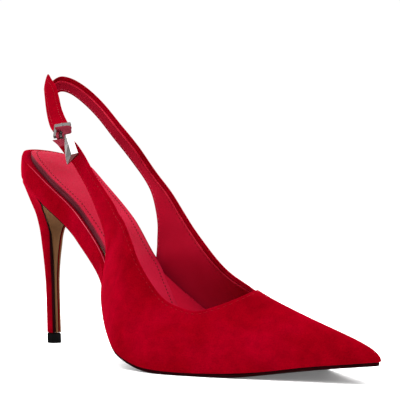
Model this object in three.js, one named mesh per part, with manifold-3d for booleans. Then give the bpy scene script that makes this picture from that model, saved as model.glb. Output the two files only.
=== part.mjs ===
// A pointed-toe slingback pump on a stiletto heel, right shoe. Millimetres, +X toe, +Z up, -Y lateral side.
import * as THREE from 'three';
import { mergeVertices } from 'three/addons/utils/BufferGeometryUtils.js';
import Module from 'manifold-3d';

const wasm = await Module();
wasm.setup();

// ---- Driving dimensions ----
const HEEL_END = -109;
const TOE_END = 116;
const SEAT_ROUND = 24;          // length of the rounded back of the seat
const TOE_ROUND = 4;            // length of the rounded toe tip
const GAP = 0.3;                // clearance between separate pieces
const SOLE_T = 1.4;
const BOARD_T = 1.0;
const WRAP_T = 0.8;
const SUEDE_T = 1.0;
const LINING_T = 0.7;
const PUFF_T = 0.5;
const SOCK_T = 0.8;
const STRAP_T = 0.9;
const STRAP_LINING_T = 0.6;
const BREAST_X = -79;           // where the heel breast meets the sole
const WRAP_END_LATERAL = -20.5; // the wrapped rim stops where the quarters begin
const WRAP_END_MEDIAL = -27.5;
const LIFT_H = 5;
const HEEL_COVER_T = 0.7;
const DOWEL_R = 1.5;
const PIN_R = 0.7;

// ---- Colours: [rgb, roughness, metalness] ----
const SUEDE = [0x96071c, 0.95, 0];
const LINING = [0xc01c3c, 0.6, 0];
const SOCK = [0xc42a44, 0.6, 0];
const PAD = [0x6e2230, 0.9, 0];
const FIBRE = [0x8a6a4a, 0.9, 0];
const TAN = [0x8a5a35, 0.7, 0];
const STEEL = [0x9a9da0, 0.35, 1];
const CHROME = [0xd8dadc, 0.12, 1];
const BLACK = [0x17161a, 0.6, 0];
const PLASTIC = [0xd9cfc0, 0.6, 0];
const CORK = [0xa9835a, 0.95, 0];

// ---- Profiles along the shoe, as [x, value] ----
const BED = [[-109, 98.8], [-96, 94.2], [-86, 88.8], [-72, 79.4], [-48, 62.6], [-24, 42], [0, 22],
  [22, 8.2], [44, 3.6], [66, 3.6], [92, 7.2], [116, 10.2]];
const UNDER = [[-109, 10], [-73, 9], [-20, 7], [10, 4.2], [34, 3.6], [66, 3.6], [116, 3.4]];
const LATERAL = [[-109, 20.6], [-72, 20.2], [-48, 16.8], [-24, 18], [0, 31.8], [22, 40],
  [44, 38.6], [66, 29.6], [92, 14.6], [106, 6.6], [116, 2.6]];
const MEDIAL = [[-109, 20], [-72, 19.6], [-48, 18.6], [-24, 15.6], [0, 24.4], [22, 33.5],
  [44, 36], [66, 29], [92, 15], [106, 7.2], [116, 2.8]];
const CENTRE = [[-109, 0], [40, 0], [80, 3], [116, 5.7]];

// Smooth curve through [x, value] points, level at each peak and trough, clamped at its ends.
function curve(points) {
  const n = points.length;
  const rise = i => (points[i + 1][1] - points[i][1]) / (points[i + 1][0] - points[i][0]);
  const slopes = points.map((p, i) => {
    if (i === 0) return rise(0);
    if (i === n - 1) return rise(n - 2);
    if (rise(i - 1) * rise(i) <= 0) return 0;
    const before = p[0] - points[i - 1][0];
    const after = points[i + 1][0] - p[0];
    return (rise(i - 1) * after + rise(i) * before) / (before + after);
  });
  return x => {
    const at = Math.min(Math.max(x, points[0][0]), points[n - 1][0]);
    let i = 0;
    while (i < n - 2 && at > points[i + 1][0]) i++;
    const h = points[i + 1][0] - points[i][0];
    const t = (at - points[i][0]) / h;
    const s = 1 - t;
    return (1 + 2 * t) * s * s * points[i][1] + t * s * s * h * slopes[i]
      + t * t * (3 - 2 * t) * points[i + 1][1] - t * t * s * h * slopes[i + 1];
  };
}

const bed = curve(BED);
const under = curve(UNDER);
const lateralWidth = curve(LATERAL);
const medialWidth = curve(MEDIAL);
const centre = curve(CENTRE);
const clamp01 = t => Math.min(Math.max(t, 0), 1);
const smooth = t => clamp01(t) ** 2 * (3 - 2 * clamp01(t));
const mix = (a, b, t) => a + (b - a) * t;
const stretch = x => Math.hypot(1, (bed(x + 0.5) - bed(x - 0.5)));

// Height of a layer whose face lies d above the insole's edge, measured square to the insole.
const layer = (x, d) => bed(x) + d * stretch(x);

// Rounds both ends of the plan outline, pulled in by an inset.
function endRound(x, inset) {
  const back = (HEEL_END + inset + SEAT_ROUND - x) / SEAT_ROUND;
  const front = (x - (TOE_END - inset - TOE_ROUND)) / TOE_ROUND;
  const round = part => Math.sqrt(Math.max(1 - Math.max(part, 0) ** 2, 0));
  return round(back) * round(front);
}
const lateralEdge = (x, inset) => centre(x) - Math.max(lateralWidth(x) - inset, 0.4) * endRound(x, inset);
const medialEdge = (x, inset) => centre(x) + Math.max(medialWidth(x) - inset, 0.4) * endRound(x, inset);

// ---- Mesh building ----
const V = (x, y, z) => new THREE.Vector3(x, y, z);

// A closed body from rings of equal point count, capped at both ends.
function loft(rings) {
  const count = rings[0].length;
  const points = rings.flat();
  const faces = [];
  for (let i = 0; i < rings.length - 1; i++) {
    for (let j = 0; j < count; j++) {
      const a = i * count + j;
      const b = i * count + (j + 1) % count;
      faces.push([a, b, b + count], [a, b + count, a + count]);
    }
  }
  for (const [start, flip] of [[0, true], [(rings.length - 1) * count, false]]) {
    const middle = points.length;
    const sum = V(0, 0, 0);
    for (let j = 0; j < count; j++) sum.add(points[start + j]);
    points.push(sum.divideScalar(count));
    for (let j = 0; j < count; j++) {
      const a = start + j;
      const b = start + (j + 1) % count;
      faces.push(flip ? [middle, b, a] : [middle, a, b]);
    }
  }
  return outward(points, faces);
}

// A closed sheet between two grids of points that face each other.
function sheet(front, back) {
  const rows = front.length;
  const cols = front[0].length;
  const points = [...front.flat(), ...back.flat()];
  const far = rows * cols;
  const faces = [];
  const quad = (a, b, c, d) => faces.push([a, b, c], [a, c, d]);
  for (let i = 0; i < rows - 1; i++) {
    for (let j = 0; j < cols - 1; j++) {
      const a = i * cols + j;
      quad(a, a + 1, a + cols + 1, a + cols);
      quad(far + a, far + a + cols, far + a + cols + 1, far + a + 1);
    }
  }
  const rim = [];
  for (let j = 0; j < cols - 1; j++) rim.push(j);
  for (let i = 0; i < rows - 1; i++) rim.push(i * cols + cols - 1);
  for (let j = cols - 1; j > 0; j--) rim.push((rows - 1) * cols + j);
  for (let i = rows - 1; i > 0; i--) rim.push(i * cols);
  rim.forEach((a, k) => {
    const b = rim[(k + 1) % rim.length];
    quad(b, a, far + a, far + b);
  });
  return outward(points, faces);
}

// Turns the faces outward when the volume comes out negative.
function outward(points, faces) {
  let volume = 0;
  for (const [a, b, c] of faces) volume += points[a].dot(points[b].clone().cross(points[c]));
  const turned = volume < 0 ? faces.map(([a, b, c]) => [a, c, b]) : faces;
  const geometry = new THREE.BufferGeometry();
  geometry.setAttribute('position', new THREE.Float32BufferAttribute(points.flatMap(p => p.toArray()), 3));
  geometry.setIndex(turned.flat());
  return geometry;
}

function toSolid(geometry) {
  const bare = geometry.clone();
  bare.deleteAttribute('normal');
  bare.deleteAttribute('uv');
  const merged = mergeVertices(bare, 1e-4);
  return new wasm.Manifold(new wasm.Mesh({
    numProp: 3,
    vertProperties: new Float32Array(merged.attributes.position.array),
    triVerts: new Uint32Array(merged.index.array),
  }));
}

function fromSolid(solid) {
  const mesh = solid.getMesh();
  const geometry = new THREE.BufferGeometry();
  geometry.setAttribute('position', new THREE.BufferAttribute(mesh.vertProperties, 3));
  geometry.setIndex(new THREE.BufferAttribute(mesh.triVerts, 1));
  return geometry;
}

const cut = (geometry, tools) => fromSolid(tools.reduce((s, t) => s.subtract(toSolid(t)), toSolid(geometry)));

// A round rod from one point to another.
function rod(from, to, radius, sides = 16) {
  const geometry = new THREE.CylinderGeometry(radius, radius, from.distanceTo(to), sides);
  const turn = new THREE.Quaternion().setFromUnitVectors(V(0, 1, 0), to.clone().sub(from).normalize());
  return geometry.applyQuaternion(turn).translate(...from.clone().add(to).divideScalar(2).toArray());
}

const shoe = new THREE.Group();
function add(name, geometry, [color, roughness, metalness]) {
  const mesh = new THREE.Mesh(geometry, new THREE.MeshStandardMaterial({ color, roughness, metalness }));
  mesh.name = name;
  shoe.add(mesh);
}

// Stations along X, closer together towards both ends.
function stations(from, to, count) {
  const list = [];
  for (let i = 0; i <= count; i++) {
    list.push(mix(from, to, 0.5 - 0.5 * Math.cos(Math.PI * i / count)));
  }
  return list;
}

// A flat-laid layer of the bottom, between depths top and bottom, given as functions of x.
// tip gives the share of its width that is left near a rounded end.
function plate(from, to, inset, top, bottom, count = 40, columns = 2, tip = () => 1) {
  const rings = stations(from, to, count).map(x => {
    const edges = [lateralEdge(x, inset(x)), medialEdge(x, inset(x))];
    const a = mix(mix(...edges, 0.5), edges[0], tip(x));
    const b = mix(mix(...edges, 0.5), edges[1], tip(x));
    const ring = [];
    for (let j = 0; j <= columns; j++) ring.push(V(x, mix(a, b, j / columns), layer(x, top(x))));
    for (let j = columns; j >= 0; j--) ring.push(V(x, mix(a, b, j / columns), layer(x, bottom(x))));
    return ring;
  });
  return loft(rings);
}

// ---- Bottom: outsole, boards, shank, filler ----
const flat = d => () => d;
const soleTop = x => -under(x) + SOLE_T;
const inFront = x => smooth((x - WRAP_END_MEDIAL + 6) / 12);   // 0 behind the quarters, 1 inside them
const wallDepth = x => SUEDE_T + LINING_T + 4 * GAP + PUFF_T * smooth((x - 78) / 14);
const insideWall = x => mix(WRAP_T + GAP, wallDepth(x), inFront(x));

const outsole = plate(BREAST_X + 1, TOE_END - 0.95, flat(0.9), soleTop, x => -under(x), 40);
add('outsole', outsole, TAN);

const slope = x => bed(x - 0.5) - bed(x + 0.5);
// A point at depth d on the square through the insole at x.
const square = (x, y, d) => V(x + d * slope(x) / stretch(x), y, bed(x) + d / stretch(x));
const SCREW_HEAD_R = 2.9;
const SCREW_HEAD_H = 0.8;
const screwTop = x => bed(x) - 0.4 - SCREW_HEAD_R * slope(x);
const screws = [[-95, 0, 1.5]];
const nails = [[-88, -9], [-88, 9], [-102, -8], [-102, 8]].map(([x, y]) => [x, y, 0.8]);
const holes = [...screws, ...nails].map(([x, y, r]) => rod(V(x, y, 60), V(x, y, 110), r + 0.25, 10));
const headHoles = screws.map(([x, y]) =>
  rod(V(x, y, screwTop(x) - SCREW_HEAD_H - GAP), V(x, y, 110), SCREW_HEAD_R + GAP, 20));
const rivetSpots = [[-58, 0], [-30, 0]];
const rivetHoles = rivetSpots.map(([x, y]) => rod(square(x, y, -4), square(x, y, 2), 1.45, 10));

const boardEnds = [HEEL_END + WRAP_T + GAP + 0.05, TOE_END - 9];
const board = plate(...boardEnds, insideWall, flat(0), flat(-BOARD_T), 40);
add('insole_board', cut(board, [...holes, ...headHoles, ...rivetHoles]), FIBRE);

const SHANK_TOP = -BOARD_T - GAP;
const SHANK_T = 1.0;
const shankRings = stations(-88, 6, 20).map(x => {
  const half = 4.2 * Math.sqrt(Math.max(1 - ((x + 41) / 48) ** 6, 0.2));
  const ring = [];
  for (const y of [-half, -1.2, 0, 1.2, half]) ring.push(V(x, y, layer(x, SHANK_TOP)));
  for (const y of [half, 1.2, 0, -1.2, -half]) ring.push(V(x, y, layer(x, SHANK_TOP - SHANK_T)));
  return ring;
});
add('steel_shank', cut(loft(shankRings), rivetHoles), STEEL);

const backerTop = flat(SHANK_TOP - SHANK_T - GAP);
const backer = plate(HEEL_END + 2.2, -6, x => insideWall(x) + 1, backerTop, x => soleTop(x) + GAP, 28);
add('shank_board', cut(backer, [...holes, ...headHoles]), FIBRE);

const filler = plate(20, 104, x => insideWall(x) + 3, flat(-BOARD_T - 0.25), x => soleTop(x) + GAP, 20);
add('forepart_filler', filler, CORK);

// ---- Suede-wrapped rim of the insole, round the back from quarter to quarter ----
function rimPath() {
  const path = [];
  const side = (edge, end) => stations(HEEL_END + 0.02, end, 26).map(x => [x, edge]);
  const lateral = side(lateralEdge, WRAP_END_LATERAL).reverse();
  const medial = side(medialEdge, WRAP_END_MEDIAL).slice(1);
  for (const [x, edge] of [...lateral, ...medial]) path.push(V(x, edge(x, 0), 0));
  return path;
}
function rim(pathPoints, thickness, top, bottom) {
  const front = [];
  const back = [];
  const rows = 3;
  pathPoints.forEach((p, i) => {
    const ahead = pathPoints[Math.min(i + 1, pathPoints.length - 1)];
    const behind = pathPoints[Math.max(i - 1, 0)];
    const run = ahead.clone().sub(behind).setZ(0).normalize();
    const inner = V(p.x - run.y * -thickness, p.y - run.x * thickness, 0);
    const column = (q, x) => Array.from({ length: rows + 1 }, (_, k) =>
      V(q.x, q.y, mix(layer(x, top), layer(x, bottom(x)), k / rows)));
    front.push(column(p, p.x));
    back.push(column(inner, p.x));
  });
  return sheet(front, back);
}
add('insole_wrap', rim(rimPath(), -WRAP_T, 0.4, x => soleTop(x) + GAP), SUEDE);

// ---- Padded sock, tapering to a tongue, over a thin forepart sock ----
const SOCK_END = 24;
const SOCK_TONGUE = 9;
const FOREPART_SOCK = [-24, 84];
const FOREPART_SOCK_TOP = 0.75;
const padT = x => mix(1.2, 2.2, smooth((x + 108) / 16)) - smooth((x + 30) / 50);
const padTop = x => 0.3 + padT(x);
const padFoot = x => mix(0.3, FOREPART_SOCK_TOP + 0.3, smooth((x + 36) / 10));
const SOCK_INSET = [[-109, 4.2], [-60, 4.2], [-34, 3.6], [-26, 3.9], [-17.6, 5.4], [-9.6, 10.9], [-4, 15.2],
  [1.2, 19.1], [10, 24.6], [24, 31.5]];
const sockInset = curve(SOCK_INSET);
const pastTongue = (x, end) => Math.max((x - end + SOCK_TONGUE) / SOCK_TONGUE, 0);
const tongue = (x, end) => Math.sqrt(Math.max(1 - pastTongue(x, end) ** 2, 0.01));
add('sock_padding', plate(HEEL_END + 4.3, SOCK_END - 1, sockInset, padTop, padFoot, 38, 2,
  x => tongue(x, SOCK_END - 1)), PAD);
add('sock_lining', plate(HEEL_END + 4.1, SOCK_END, x => sockInset(x) - 0.2,
  x => padTop(x) + 0.2 + SOCK_T, x => padTop(x) + 0.2, 42, 2, x => tongue(x, SOCK_END)), SOCK);
add('forepart_sock', plate(...FOREPART_SOCK, x => 3.6 + 0.8 * smooth((x - 50) / 30), () => FOREPART_SOCK_TOP,
  () => 0.2, 30), LINING);

// ---- Upper: ribs from the topline down to the feather edge ----
// Each rib is [topline point, foot]: the foot is an x on the feather edge, or a point on a quarter's back edge.
const LATERAL_RIBS = [
  [[-27, -20.3, 80.9], [-32.1, -20.2, 75]],
  [[-18.5, -21, 74], [-24, -20.2, 64.5]],
  [[-9.8, -22.2, 67.5], [-17, -20.4, 53]],
  [[-4.2, -23.3, 62.8], [-15.6, -20.8, 44]],
  [[0.9, -24.3, 59.2], -18],
  [[9.4, -25.5, 50.2], -6],
  [[15.2, -26, 42.8], 8],
  [[22.2, -26, 35.5], 20],
  [[32.3, -26, 27.8], 34],
  [[39.4, -25.2, 25], 46],
  [[48.5, -22.3, 23.2], 62],
  [[54.2, -17.4, 25], 78],
  [[58, -11, 27.7], 95],
  [[59.8, -4.8, 30.2], 109],
];
const TOE_RIB = [[59.4, -0.5, 31.3], TOE_END];
const MEDIAL_RIBS = [
  [[57, 2.9, 31.4], 109],
  [[53, 6.6, 31.2], 96],
  [[48, 10.8, 30.8], 80],
  [[42.5, 15, 30.8], 66],
  [[35.5, 18.8, 32], 51],
  [[28.2, 21, 34], 37],
  [[21.5, 22, 36.4], 23],
  [[15, 22.6, 39.6], 9],
  [[8, 22.7, 44.4], -6],
  [[1, 22.2, 50.6], -23.5],
  [[-5.5, 21.4, 57.4], [-26, 16.9, 51]],
  [[-12, 20.6, 65], [-26, 16.7, 60.5]],
  [[-20, 19.4, 74.8], [-30.2, 17, 72.4]],
  [[-30.3, 18, 85], [-36, 17.6, 79.9]],
];
const WALL_FOOT = x => soleTop(x) + 0.45;       // the upper ends just above the outsole
const OVERLAP = 0.5;                            // quarters stand this proud of the wrapped rim
const WALL_BULGE = 2.3;                         // swell of the side walls

// The four control points of a rib: topline, upper swell, wall above the foot, foot.
function ribPoints([top, foot], edge) {
  const T = V(...top);
  if (Array.isArray(foot)) {
    const F = V(...foot);
    const swollen = t => T.clone().lerp(F, t).add(V(0, Math.sign(T.y) * 0.8, 0));
    return [T, swollen(1 / 3), swollen(2 / 3), F];
  }
  const proud = OVERLAP * (1 - smooth((foot + 20) / 40));
  const x = Math.min(foot, TOE_END - 0.02);
  const F = V(x, edge(x, -proud), layer(x, WALL_FOOT(x)));
  const front = smooth((foot - 50) / 65);
  const toe = smooth((foot - 80) / 30);         // straight down to a blunt tip
  const side = edge(x, 0) < centre(x) ? -1 : 1;
  const swell = side * WALL_BULGE * (1 - front) * smooth((foot + 22) / 30);
  const high = T.clone().lerp(F, mix(0.33, 0.3, front) + 0.3 * toe).add(V(0, swell, 0));
  const low = T.clone().lerp(F, mix(0.92, 0.955, front) + 0.03 * toe).add(V(0, swell * 0.45, 0));
  low.z = mix(F.z, T.z, mix(0.42, 0.3, front) - 0.03 * toe);
  return [T, high, low, F];
}
const ribs = [
  ...LATERAL_RIBS.map(r => ribPoints(r, lateralEdge)),
  ribPoints(TOE_RIB, () => centre(TOE_END)),
  ...MEDIAL_RIBS.map(r => ribPoints(r, medialEdge)),
];
const guides = [0, 1, 2, 3].map(k => new THREE.CatmullRomCurve3(ribs.map(r => r[k]), false, 'centripetal'));

function upperPoint(u, v) {
  const [T, high, low, F] = guides.map(g => g.getPoint(clamp01(u)));
  const s = 1 - v;
  return T.multiplyScalar(s ** 3).addScaledVector(high, 3 * s * s * v)
    .addScaledVector(low, 3 * s * v * v).addScaledVector(F, v ** 3);
}
function upperNormal(u, v) {
  const h = 2e-3;
  const alongU = upperPoint(u + h, v).sub(upperPoint(u - h, v));
  const alongV = upperPoint(u, v + h).sub(upperPoint(u, v - h));
  return alongU.cross(alongV).normalize().negate();
}
const TOE_U = LATERAL_RIBS.length / (ribs.length - 1);
const nearToe = u => Math.exp(-(((u - TOE_U) / 0.07) ** 2));

// A skin of the upper between two depths under its outer face.
function upperSkin(us, vTop, vFoot, outer, inner, rows) {
  const grid = depth => us.map(u => {
    const column = [];
    for (let j = 0; j <= rows; j++) {
      const v = mix(vTop(u), vFoot(u), j / rows);
      column.push(upperPoint(u, v).addScaledVector(upperNormal(u, v), -depth(u)));
    }
    return column;
  });
  return sheet(grid(outer), grid(inner));
}
// The strap's two ends are round and turn in round seats in the quarters, about one line.
const ROOT_R = 3.9;
const NEAR_ROOT = V(-29.6, -20.2, 78.1);
const FAR_ROOT = V(-33.2, 17.8, 82.5);
const rootLine = FAR_ROOT.clone().sub(NEAR_ROOT).normalize();
const rootSeats = [NEAR_ROOT, FAR_ROOT].map(p =>
  rod(p.clone().addScaledVector(rootLine, -5), p.clone().addScaledVector(rootLine, 5), ROOT_R + 2 * GAP, 20));
const even = (from, to, count) => Array.from({ length: count + 1 }, (_, i) => mix(from, to, i / count));
const UPPER_STEPS = 66;
const vamp = upperSkin(even(0, 1, UPPER_STEPS), flat(0), flat(1), flat(0), flat(SUEDE_T), 7);
add('vamp_and_quarters', cut(vamp, rootSeats), SUEDE);

const puffRoom = u => (PUFF_T + GAP) * nearToe(u);
const liningDepth = u => SUEDE_T + GAP + puffRoom(u);
const lining = upperSkin(even(0.004, 0.996, UPPER_STEPS), flat(0.015), u => 1 - 0.03 - 0.13 * nearToe(u),
  liningDepth, u => liningDepth(u) + LINING_T, 6);
add('upper_lining', cut(lining, rootSeats), LINING);

add('toe_puff', upperSkin(even(TOE_U - 0.05, TOE_U + 0.05, 12), flat(0.5), flat(0.85),
  u => SUEDE_T + 0.25, u => SUEDE_T + 0.25 + PUFF_T * nearToe(u), 4), FIBRE);

// ---- Heel: sections from the top-lift up to the seat ----
// [height, centre x, half width, depth behind the centre, breast x, half width of the breast]
const HEEL_SECTIONS = [
  [0, -91.2, 3.3, 3.5, -87.6, 1.6],
  [12, -92.2, 3.3, 3.5, -88.8, 1.5],
  [30, -94, 3.25, 3.7, -90.4, 1.5],
  [38, -94.8, 3.6, 4.1, -90.9, 1.8],
  [48, -95.3, 4.7, 5, -91.1, 2.5],
  [58.5, -95.5, 6.8, 6.6, -91.2, 4.8],
  [63.2, -95.3, 9, 7.6, -89.6, 8],
  [67, -95, 11.8, 9, -86.4, 11.6],
  [71, -94.4, 14.6, 11.4, -83, 14.8],
  [75.2, -91.5, 18, 16, -80, 18],
];
const SEAT_X = HEEL_END + SEAT_ROUND;
const heelColumn = k => curve(HEEL_SECTIONS.map(s => [s[0], s[k]]));
const [heelCentre, heelHalf, heelBack, heelBreast, breastHalf] = [1, 2, 3, 4, 5].map(heelColumn);
const seatUnder = x => layer(x, soleTop(x) - GAP);
const HEEL_TOP = seatUnder(SEAT_X);
const LAST_SECTION = HEEL_SECTIONS[HEEL_SECTIONS.length - 1][0];

// Height of a heel point: level at the pin, following the underside of the seat at the top.
function heelHeight(level, x) {
  const share = smooth((level - 50) / (HEEL_TOP - 50));
  return level + share * (seatUnder(x) - HEEL_TOP);
}

// Half outline of a section from the back round the side to the breast, on one side.
function heelSide(level, inset, steps) {
  const top = smooth((level - LAST_SECTION) / (HEEL_TOP - LAST_SECTION));
  const xc = mix(heelCentre(level), SEAT_X, top);
  const back = mix(heelBack(level), SEAT_ROUND - 0.3, top) - inset;
  const front = mix(heelBreast(level), BREAST_X, top) - xc - inset;
  const half = mix(heelHalf(level), 20, top) - inset;
  const face = Math.min(mix(breastHalf(level), 19.6, top) - inset * 0.6, half - 0.05);
  const points = [];
  for (let i = 0; i <= steps; i++) {
    const a = Math.PI / 2 * i / steps;
    points.push([xc - back * Math.cos(a), half * Math.sin(a)]);
  }
  for (let i = 1; i <= steps / 2; i++) {
    const t = Math.sin(Math.PI / 2 * i / (steps / 2));
    points.push([xc + front * t, face + (half - face) * Math.sqrt(1 - t * t)]);
  }
  return points;
}
function heelRing(level, inset, steps = 8) {
  const side = heelSide(level, inset, steps);
  const place = ([x, y]) => V(x, y, heelHeight(level, x));
  return [...side.map(place), ...side.slice(1).reverse().map(([x, y]) => place([x, -y]))];
}
const levels = (from, to) => even(from, to, 16);
const BLOCK_FOOT = LIFT_H + GAP;
const BLOCK_INSET = HEEL_COVER_T + GAP;
const BLOCK_TOP = HEEL_TOP - 0.6;
const dowelFoot = V(-91.5, 0, BLOCK_FOOT - 0.001);
const dowelHead = V(-95.4, 0, 56);
const dowelAxis = dowelHead.clone().sub(dowelFoot).normalize();
const alongDowel = d => dowelFoot.clone().addScaledVector(dowelAxis, d);
const DOWEL_LENGTH = 48;
const block = loft(levels(BLOCK_FOOT, BLOCK_TOP).map(level => heelRing(level, BLOCK_INSET)));
const dowelHole = rod(alongDowel(-3), alongDowel(DOWEL_LENGTH + 1), DOWEL_R + 0.2, 20);
add('heel_block', cut(block, [dowelHole, ...holes]), PLASTIC);
add('heel_dowel', cut(rod(alongDowel(0.5), alongDowel(DOWEL_LENGTH), DOWEL_R, 20),
  [rod(alongDowel(-1), alongDowel(16), PIN_R + 0.2, 16)]), STEEL);

// Suede cover of the heel's back and sides: open at the breast.
const coverLevels = levels(BLOCK_FOOT, BLOCK_TOP);
const coverGrid = inset => coverLevels.map(level => {
  const side = heelSide(level, 0, 8);
  const inner = heelSide(level, inset, 8);
  const pick = inset > 0 ? inner : side;
  const place = ([x, y]) => V(x, y, heelHeight(level, x));
  return [...pick.slice(1).reverse().map(([x, y]) => place([x, -y])), ...pick.map(place)];
});
add('heel_cover', sheet(coverGrid(0), coverGrid(HEEL_COVER_T)), SUEDE);

// Leather flap down the breast, continuing the sole.
const flapRings = coverLevels.map(level => {
  const side = heelSide(level, HEEL_COVER_T + 0.15, 8);
  const [x, half] = side[side.length - 1];
  const width = Math.max(half - 0.5, 0.5);
  const z = heelHeight(level, x);
  return [V(x + 0.7, -width, z), V(x + 0.7, width, z), V(x + 0.1, width, z), V(x + 0.1, -width, z)];
});
add('heel_breast_flap', loft(flapRings), TAN);

const liftRings = [0, 0.6, LIFT_H].map(z => heelRing(z, z === 0 ? 0.25 : 0).map(p => p.setZ(z)));
const liftHole = rod(alongDowel(-3.2), alongDowel(3), PIN_R + 0.2, 16);
add('top_lift', cut(loft(liftRings), [liftHole]), BLACK);
add('top_lift_pin', rod(alongDowel(-3), alongDowel(13), PIN_R, 16), STEEL);

// ---- Fasteners in the seat and the waist ----
function fastener(x, y, top, shaft, headR, headH, length) {
  const profile = [[0, -length], [shaft * 0.35, -length + 1], [shaft, -length + 4], [shaft, -headH],
    [headR, -headH], [headR, 0], [0, 0]].map(([r, z]) => new THREE.Vector2(r, z));
  return new THREE.LatheGeometry(profile, 9).rotateX(Math.PI / 2).translate(x, y, top);
}
for (const [x, y, r] of screws) {
  add('heel_screw', fastener(x, y, screwTop(x), r, SCREW_HEAD_R, SCREW_HEAD_H, 24), STEEL);
}
nails.forEach(([x, y, r], i) => {
  add('heel_nail_' + (i + 1), fastener(x, y, bed(x) - 0.9, r, r, 0.5, 17), STEEL);
});
rivetSpots.forEach(([x, y], i) => {
  add('shank_rivet_' + (i + 1), rod(square(x, y, -2.25), square(x, y, -0.1), 1.2, 10), STEEL);
});

// ---- Sling strap: two edges, as [front edge, back edge] from the medial quarter round to the buckle ----
const SLING = [
  [[-27.9, 18.2, 82.7], [-33.6, 17.7, 77.6]],
  [[-30.6, 18, 85.3], [-36.3, 17.6, 80.2]],
  [[-43.5, 17, 98.2], [-48.8, 16.6, 92.8]],
  [[-57, 15, 110.9], [-61.8, 14.8, 105]],
  [[-68.6, 12, 122.8], [-72.8, 12.2, 116.4]],
  [[-78.6, 8, 131.7], [-82.4, 9, 125]],
  [[-86.4, 4.6, 136.5], [-89.5, 6, 130]],
  [[-92.6, 2.4, 138.2], [-95, 4, 131.6]],
  [[-96.2, 1, 137.4], [-97.8, 2.2, 130.8]],
  [[-98.4, -1.4, 135.4], [-99.2, -1.2, 130.4]],
  [[-96.6, -4.2, 139], [-98.4, -4.6, 131.6]],
  [[-91, -5.6, 135.6], [-93.8, -7.4, 129.8]],
  [[-84.4, -6.9, 130.9], [-88.8, -9.8, 125.4]],
  [[-77.4, -9.3, 124.4], [-82, -13, 119.1]],
  [[-69.2, -12.6, 117.2], [-73.9, -16.6, 112.7]],
  [[-59.8, -15.8, 110.7], [-64.9, -20.4, 107.2]],
  [[-52.6, -18, 106.6], [-57.6, -23, 103.9]],
];
// A flat band between two edge curves, offset from its outer face by near and far depths.
// round > 0 rounds the band's first end to that radius.
function band(rows, nearDepth, farDepth, inset, steps, round = 0) {
  const edges = [0, 1].map(k => new THREE.CatmullRomCurve3(rows.map(r => V(...r[k])), false, 'centripetal'));
  const middles = rows.map(r => V(...r[0]).lerp(V(...r[1]), 0.5));
  const length = new THREE.CatmullRomCurve3(middles, false, 'centripetal').getLength();
  const start = round > 0 ? even(0, 1, 6).map(k => round / length * (1 - Math.cos(Math.PI / 2 * k))) : [0];
  const ts = [...start.slice(0, -1), ...even(start[start.length - 1], 1, steps)];
  const rings = ts.map(t => {
    const [a, b] = edges.map(c => c.getPoint(t));
    const across = b.clone().sub(a).normalize();
    const ahead = edges.map(c => c.getPoint(Math.min(t + 0.01, 1)).sub(c.getPoint(Math.max(t - 0.01, 0))));
    const normal = ahead[0].add(ahead[1]).cross(across).normalize();
    const short = Math.max(round - t * length, 0);
    const pulled = inset + round - Math.sqrt(round * round - short * short);
    const narrow = Math.min(pulled, a.distanceTo(b) / 2 - 0.15);
    a.addScaledVector(across, narrow);
    b.addScaledVector(across, -narrow);
    const at = (p, d) => p.clone().addScaledVector(normal, d);
    return [at(a, -nearDepth), at(b, -nearDepth), at(b, -farDepth), at(a, -farDepth)];
  });
  return loft(rings);
}
const UNDER_STRAP = STRAP_T + 0.15;
add('sling_strap', band(SLING, 0, STRAP_T, 0, 70, ROOT_R), SUEDE);
add('sling_strap_lining', band(SLING, UNDER_STRAP, UNDER_STRAP + STRAP_LINING_T, 0.3, 70, ROOT_R), LINING);

// Short strap from the lateral quarter up to the buckle.
const BUCKLE_STRAP = [
  [[-24.7, -20.4, 78.6], [-29.8, -20.3, 72.7]],
  [[-27.4, -20.2, 81.3], [-32.5, -20.1, 75.4]],
  [[-32.2, -20, 86], [-37.8, -20.3, 81.2]],
  [[-36.4, -20, 90.6], [-42.4, -21.4, 87.2]],
  [[-39.6, -20.6, 94.4], [-45.6, -24, 92]],
  [[-41.4, -22.1, 97.3], [-46.6, -27, 95.8]],
  [[-43.5, -23.3, 98.9], [-48.2, -28.8, 98]],
];
add('buckle_strap', band(BUCKLE_STRAP, 0, STRAP_T, 0, 30, ROOT_R), SUEDE);
add('buckle_strap_lining', band(BUCKLE_STRAP, UNDER_STRAP, UNDER_STRAP + STRAP_LINING_T, 0.3, 30, ROOT_R),
  LINING);

// ---- Buckle: a rectangular frame that turns in a leather loop, with its prong ----
const BUCKLE_W = 7.6;
const BUCKLE_L = 9.2;
const BAR = 1.3;
const TOP_BAR = 2.5;
const BUCKLE_T = 1.5;
const across = V(0.7, 0.7, 0.15).normalize();
const down = V(0.575, -0.415, -0.7);
down.addScaledVector(across, -down.dot(across)).normalize();
const face = down.clone().cross(across).normalize();
const buckleCorner = V(-54.2, -24.5, 105.4);    // free corner of the upper bar, at mid thickness
const onBuckle = (w, l, n) => buckleCorner.clone().addScaledVector(across, w).addScaledVector(down, l)
  .addScaledVector(face, n);
const buckleBasis = new THREE.Matrix4().makeBasis(across, down.clone().negate(), face);
const placeBuckle = g => g.applyMatrix4(buckleBasis).translate(...buckleCorner.toArray());

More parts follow.
